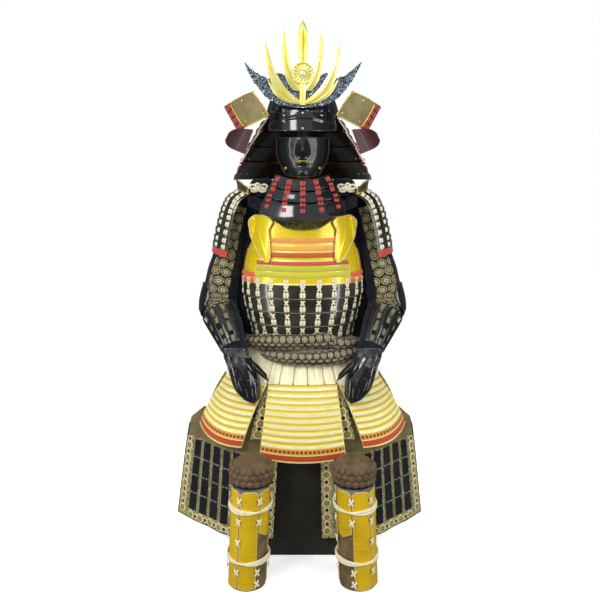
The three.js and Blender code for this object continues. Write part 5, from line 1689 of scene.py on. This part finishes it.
PLATE_ROWS, APRON_TOP = 4, 0.72
MARK_ORDER = slice(0, None, 4), slice(2, None, 4), slice(1, None, 2)      # olive, rose, square marks
apron_marks, thigh_knots = ([], [], []), []
for side, label in SIDES:
    spread, inner = (-6, -8) if side else (-26, -40)

    def thigh_point(u, v):
        u, v = np.broadcast_arrays(u, v)
        row = [np.interp(u, THIGH_PLAN[:, 0], THIGH_PLAN[:, k]) for k in range(1, 5)]
        outer = spread * u * u + inner * np.maximum(0, 1 - u / 0.35)
        hem_x, head_x = row[2] + outer, row[0] + outer / 2
        slope = 46 * np.maximum(0, (u - 0.82) / 0.18) * v ** 4
        wave = 2.0 * np.sin(u * 21) * (1 - v)
        return np.stack([hem_x + (head_x - hem_x) * v, row[3] + (row[1] - row[3]) * v + wave,
                THIGH_HEM + (THIGH_HEAD - slope - THIGH_HEM) * v], -1)
    flap = fit(shell(f"thigh_guard_{label}_cloth", thigh_point, 60, 60, 2.0, HEMP, mirrored=side),
            "hemp_cloth", f"thigh_guard_{label}")
    extra = []
    for window in ((0.0, 0.09, 0.0, APRON_TOP + 0.02), (0.91, 1.0, 0.0, APRON_TOP + 0.02),
            (0.0, 1.0, 0.0, 0.076)):
        extra.append(shell("border strip", part_of(thigh_point, *window, out=1.2), 40, 60, 1.4,
                BORDER_SILK, mirrored=side))
    extra.append(shell("brocade ground", part_of(thigh_point, 0.09, 0.91, 0.076, APRON_TOP, out=0.9), 60,
            40, 1.0, STRIP_SILK, mirrored=side))
    for run in ((0.955, 0.036, 0.955, APRON_TOP + 0.02), (0.045, 0.036, 0.045, APRON_TOP + 0.02),
            (0.12, 0.037, 0.88, 0.037)):
        u, v = outline(thigh_point, *run, 23.5)
        for which, pick in enumerate(MARK_ORDER):
            apron_marks[which].append(on_surface(thigh_point, u[pick], v[pick], 1.5, mirrored=side))
    edge_path = runs_of(thigh_point, (1, 0.9, 1, 0, 40), (1, 0, 0, 0, 60), (0, 0, 0, 0.9, 40))
    extra.append(tube("apron edging", edge_path, 2.2, DARK_CLOTH, 6, mirrored=side))
    for c in 0.157 + 0.1143 * np.arange(7):
        for r in range(PLATE_ROWS):
            v0 = 0.086 + (APRON_TOP - 0.09) * r / PLATE_ROWS
            v1 = v0 + (APRON_TOP - 0.09) * 0.94 / PLATE_ROWS
            extra.append(shell("apron plate", part_of(thigh_point, c - 0.038, c + 0.038, v0, v1, out=3.6),
                    4, 5, 1.8, BLACK, mirrored=side, rounded=0.5))
            if r:
                thigh_knots.append(on_surface(thigh_point, (c - 0.018, c + 0.018), v0 - 0.005, 3.4,
                        (0.7, 1.2, 0.9), side))
    facing = fit(join(f"thigh_guard_{label}_facing", extra), "brocade")
for name, piece, places, finish in zip(("olive_medallions", "rose_medallions", "squares"),
        (MEDAL, MEDAL, SQUARE), apron_marks, MEDAL_SILKS):
    fit(set_pieces(f"apron_border_{name}", piece, places, finish, 1.0, 4.0), "brocade")
fit(set_pieces("thigh_guard_knots", KNOT, thigh_knots, GREY_KNOT, 0.8), "silk_lacing")

# The ends of the brocade that ties each half of the apron to the waist hang between the tassets.
for side, label in SIDES:
    def strip_point(u, v):
        u, v = np.broadcast_arrays(u, v)
        z = 403 + 168 * v
        x = 143 - 44 * v + 42 * (u - 0.5)
        y = np.interp(z, [403, 470, 520, 572], [-111, -107, -97, -85]) + 2 * np.sin(6 * v + 3 * u)
        return np.stack([x, y, z], -1)
    strip = fit(shell(f"apron_tie_{label}_strip", strip_point, 12, 40, 1.6, BORDER_SILK, mirrored=side),
            "brocade")
    strip_marks = []
    u, v = outline(strip_point, 0.5, 0.04, 0.5, 0.98, 19.0)
    for which, pick in enumerate(MARK_ORDER):
        at = on_surface(strip_point, u[pick], v[pick], 0.4, (1.1, 1.1, 1), side)
        strip_marks.append(set_pieces("tie mark", (MEDAL, MEDAL, SQUARE)[which], [at], MEDAL_SILKS[which]))
    strip_marks = fit(join(f"apron_tie_{label}_medallions", strip_marks), "brocade")

# ---------- shin guards ----------
# Long gold lacquered splints stand round each shin, sewn to leather and joined by crossed knots. The
# inner splint is short and brown leather shows under it. Two cream cords tie each guard.
SHIN_Y, SHIN_R = -235, 57
SHIN_LEATHER = plain_finish("shin leather", (0.13, 0.085, 0.034), (0.2, 0.135, 0.06), (0.5, 0.7),
        (0.26, 0.17, 0.09), relief=(None, 0.35, 0.0006), cloud=30.0, grain=500.0, edge=0.002)
SPLINT_GOLD = gold_lacquer("splint lacquer", (0.6, 0.36, 0.003), (0.86, 0.57, 0.007), 0.0018)


def shin_centre(z):
    return 167 - 17 * (z / 350)


def shin_point(angle, z, out=0.0):
    a = np.radians(angle)
    return np.stack(np.broadcast_arrays(shin_centre(z) + (SHIN_R + out) * np.sin(a),
            SHIN_Y - (SHIN_R + out) * np.cos(a), z), -1)


shin_knots = []
for side, label in SIDES:
    turn = 0 if side else 16
    parts = [shell("shin leather", lambda u, v: shin_point(-150 + 300 * u, 0.4 + 305 * v, -2.2), 60, 10,
            2.2, SHIN_LEATHER, mirrored=side, rounded=0.6)]
    for k, middle in enumerate((-120, -60, 0, 60, 120)):
        foot = 182 if k == 1 else 6

        def splint(u, v):
            s = 2 * u - 1
            top = 314 - 12 * np.abs(s) ** 3
            low = foot - (0 if foot < 10 else 14 * (1 - np.abs(s)))
            z = low + (top - low) * v
            ridge = 2.0 * (1 - np.abs(s)) + 1.2 * (1 - s * s)
            return shin_point(np.clip(middle + 28.6 * s + (turn if abs(middle) < 100 else 0), -149, 149),
                    z, ridge)
        parts.append(shell(f"splint {k}", splint, 24, 60, 2.6, SPLINT_GOLD, mirrored=side, rounded=0.5,
                smooth_angle=25))
    for z in (258, 98):
        for k in range(4):
            turns = np.linspace(-150, 150, 90)
            cross = np.cos(np.radians(turns * 1.3 - 60 + 130 * (z < 200)))
            sag = 7 * np.cos(np.radians(turns)) + (k - 1.5) * 4.4 * cross
            parts.append(tube("shin cord", shin_point(turns, z - sag, 5.2 + 0.8 * (k % 2)), 2.5, CREAM,
                    lobes=3, pitch=8, mirrored=side))
    fit(join(f"shin_guard_{label}_splints", parts), "gold_lacquer", f"shin_guard_{label}")
    for seam in (-90, -30, 30, 90):
        heights = np.array([282, 218, 60, 24] if seam == -30 else [282, 218, 154, 60])
        a, flip = math.radians(seam + turn), (-1 if side else 1, 1, 1)
        face = np.tile([math.sin(a), -math.cos(a), 0.0], (4, 1))
        shin_knots.append((shin_point(seam + turn, heights, 3.6) * flip, face * flip,
                np.tile([0, 0, 1.0], (4, 1)), np.tile([1.15, 1.25, 1.2], (4, 1))))
fit(set_pieces("shin_guard_knots", CROSS, shin_knots, CREAM, 1.0, 8.0, 13), "silk_lacing")

# ---------- knee caps ----------
# Domed caps of moulded brown leather over the shins: plain on top, with three rows of raised hexagon
# bosses below and a dark cloth rim over a grey lining.
CAP_LEATHER = plain_finish("knee cap leather", (0.095, 0.056, 0.022), (0.15, 0.094, 0.04), (0.55, 0.8),
        relief=(None, 0.45, 0.0008), cloud=40.0, grain=420.0, edge=0.0)
GREY_CLOTH = woven("grey hemp", (0.12, 0.115, 0.105), (0.3, 0.29, 0.26), 40.0)


def cap_half(v):
    """How far round the cap reaches each way, in degrees: open behind at its foot, closed above."""
    return 128 + 51.8 * np.clip((v - 1 / 3) * 4, 0, 1)


def cap_surface(u, v):
    angle = np.radians(cap_half(v) * (2 * u - 1))
    rise = np.maximum(0, (v - 1 / 3) * 1.5) * np.pi / 2
    r = 62 * np.cos(rise * 0.995) - 4 * np.clip(1 - 3 * v, 0, 1) ** 2
    z = np.where(v < 1 / 3, 322 + 42 * v * 3, 364 + 39 * np.sin(rise))
    return np.stack([shin_centre(340) + r * np.sin(angle), SHIN_Y - r * np.cos(angle), z], -1)


HEX = dome("hexagon boss", 11.9, 5.6, 6, 5, turned=np.pi / 6)
cap_bosses = []
for side, label in SIDES:
    cap = shell(f"cap {label}", cap_surface, 72, 30, 4, CAP_LEATHER, mirrored=side, rounded=0.6)
    rim_cloth = shell(f"rim cloth {label}", lambda u, v: shin_point(-146 + 292 * u, 296 + 30 * v,
            -1.5 - 2 * v), 60, 6, 2.0, GREY_CLOTH, mirrored=side, rounded=0.5)
    cap_edge = tube("cap edge", cap_surface(np.linspace(0, 1, 70), np.zeros(70)) + np.array([0, 0, 3.0]),
            4.2, DARK_CLOTH, 10, mirrored=side)
    fit(join(f"knee_cap_{label}_leather", [cap, cap_edge, rim_cloth]), "brown_leather", f"knee_cap_{label}")
    for k, (v, size) in enumerate(((0.115, 1.0), (0.265, 1.0), (0.44, 0.94))):
        turns = np.arange(-113.4, 114, 18.9) + (9.45 if k % 2 else 0)
        cap_bosses.append(on_surface(cap_surface, 0.5 + turns / cap_half(v) / 2, v, -0.6,
                (size, size, 1.1), side))
fit(set_pieces("knee_cap_bosses", HEX, cap_bosses, CAP_LEATHER), "brown_leather")

# ---------- armour chest and stand ----------
# The set sits on its own storage chest of dark lacquered wood with a lapped lid, and is carried
# inside by a plain dark post with a shoulder bar, a head block and a strut behind the mask.
f = Finish("chest lacquer", cloud=14.0, grain=300.0, edge=0.0)
lines = f.noise(f.node("ShaderNodeMapping", {"Vector": f.place, "Scale": (3.0, 3.0, 40.0)}), 6.0, 4.0)
f.paint(f.mix(lines, f.vary((0.008, 0.008, 0.006), (0.018, 0.018, 0.013)), (0.03, 0.029, 0.021)),
        (0.45, 0.65), f.plus(lines, f.grain), 0.3, 0.0008)
CHEST_WOOD = f.material


def finished_copy(node, finish, rounded):
    """A node's own shape, merged, with rounded edges and its finish."""
    mesh = frame["nodes"][node].data.copy()
    mesh.materials.clear()
    mesh.materials.append(finish)
    made = put(node + "_finished", mesh)
    weld = made.modifiers.new("merge", "WELD")
    weld.merge_threshold = 0.00005
    edge = made.modifiers.new("rounded edge", "BEVEL")
    edge.width, edge.segments, edge.limit_method = rounded * MM, 3, "ANGLE"
    edge.angle_limit = math.radians(40)
    return made


chest = join("armour_chest_wood", [finished_copy("armour_chest", CHEST_WOOD, 2.5)])
stand = join("stand_wood_frame", [finished_copy("stand", CHEST_WOOD, 2.0)])
fit(chest, "chest_lacquer", "armour_chest")
fit(stand, "stand_wood", "stand")

for template in [o for o in bpy.data.objects if o.type == "MESH" and o.parent is None and o is not floor]:
    bpy.data.objects.remove(template, do_unlink=True)
